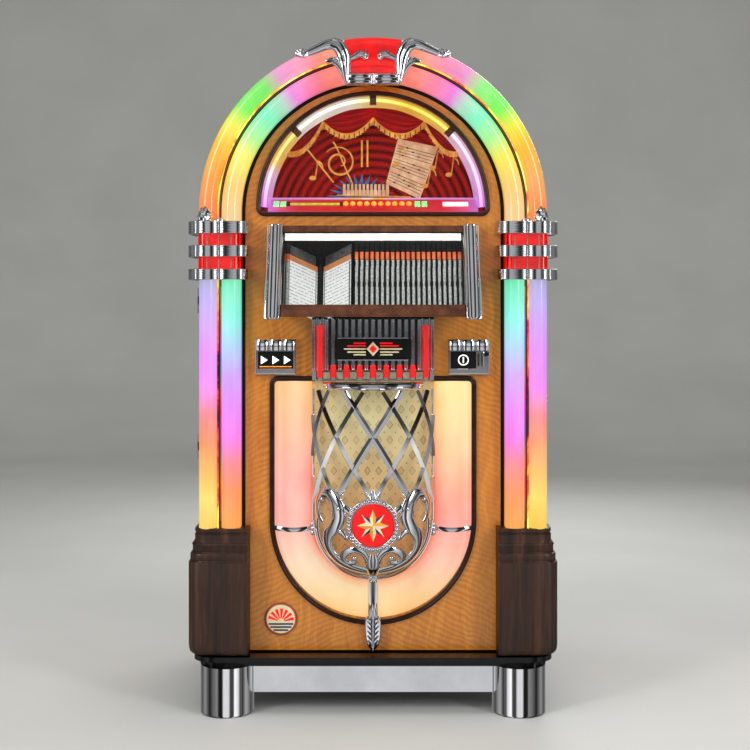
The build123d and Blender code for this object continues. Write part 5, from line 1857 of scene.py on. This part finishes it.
def make_world():
    """Pale surroundings for the camera; banded light and dark for what the chrome reflects."""
    world = bpy.data.worlds.new("studio")
    bpy.context.scene.world = world
    world.use_nodes = True
    tree = world.node_tree
    tree.nodes.clear()

    def add(kind, inputs=None, **settings):
        made = tree.nodes.new(kind)
        for key, value in settings.items():
            setattr(made, key, value)
        for socket, value in (inputs or {}).items():
            if isinstance(value, bpy.types.NodeSocket):
                tree.links.new(value, made.inputs[socket])
            else:
                made.inputs[socket].default_value = value
        return made

    def levels(factor, stops):
        made = add("ShaderNodeValToRGB", {0: factor})
        elements = made.color_ramp.elements
        while len(elements) < len(stops):
            elements.new(0.5)
        for element, (spot, level) in zip(elements, stops):
            element.position = spot
            element.color = (level, level, level, 1)
        return made.outputs[0]

    coords = add("ShaderNodeTexCoord").outputs["Generated"]
    parts = add("ShaderNodeSeparateXYZ", {0: coords}).outputs
    rise = add("ShaderNodeMapRange", {0: parts[2], 1: -1.0, 2: 1.0}).outputs[0]
    heights = levels(rise, [
        (0.0, 0.45), (0.36, 0.95), (0.45, 0.85), (0.485, 0.08), (0.505, 0.80), (0.58, 1.0),
        (0.65, 0.14), (0.93, 0.75),
    ])
    front = add("ShaderNodeMath", {0: parts[1], 1: -1.0}, operation="MULTIPLY").outputs[0]
    bearing = add("ShaderNodeMath", {0: parts[0], 1: front}, operation="ARCTAN2").outputs[0]
    turn = add("ShaderNodeMapRange", {0: bearing, 1: -math.pi, 2: math.pi}).outputs[0]
    half_turn = [
        (0.0, 0.30), (0.15, 0.08), (0.24, 0.50), (0.29, 0.02), (0.35, 0.62), (0.395, 1.0), (0.41, 0.06),
        (0.450, 0.04), (0.468, 0.62), (0.49, 0.66),
    ]
    around = levels(turn, half_turn + [(1 - spot, level) for spot, level in reversed(half_turn)])
    both = add("ShaderNodeMix", {0: 1.0, 6: heights, 7: around}, data_type="RGBA", blend_type="MULTIPLY")
    reflected = add("ShaderNodeBackground", {0: both.outputs[2], 1: 1.15})
    seen = add("ShaderNodeBackground", {0: (0.62, 0.62, 0.59, 1), 1: 1.0})
    fill = add("ShaderNodeBackground", {0: (0.68, 0.68, 0.68, 1), 1: 0.62})
    rays = add("ShaderNodeLightPath").outputs
    lit = add("ShaderNodeMixShader", {0: rays["Is Glossy Ray"], 1: fill.outputs[0], 2: reflected.outputs[0]})
    shown = add("ShaderNodeMixShader", {0: rays["Is Camera Ray"], 1: lit.outputs[0], 2: seen.outputs[0]})
    add("ShaderNodeOutputWorld", {0: shown.outputs[0]})


def make_camera():
    """Camera where the photographer stood: square to the front and level with its middle."""
    data = bpy.data.cameras.new("camera")
    data.angle = math.radians(31.0)
    camera = bpy.data.objects.new("camera", data)
    bpy.context.scene.collection.objects.link(camera)
    camera.location = (4.5 * MM, -3.30, 0.931)
    camera.rotation_euler = (math.radians(90), 0, 0)
    data.shift_y = -0.1
    bpy.context.scene.camera = camera


make_stage()
make_light("key_left", (-2.2, -2.6, 2.2), (0, 0, 0.8), (0.7, 2.2), 46)
make_light("key_right", (2.2, -2.6, 2.0), (0, 0, 0.8), (0.5, 2.2), 38)
make_light("top", (0, -0.6, 3.2), (0, 0, 0.6), (2.4, 1.2), 36, False)
make_light("rear", (0.6, 2.8, 2.2), (0, 0, 0.8), (2.0, 1.2), 40)
make_world()
make_camera()
bpy.context.scene.view_settings.view_transform = "Standard"
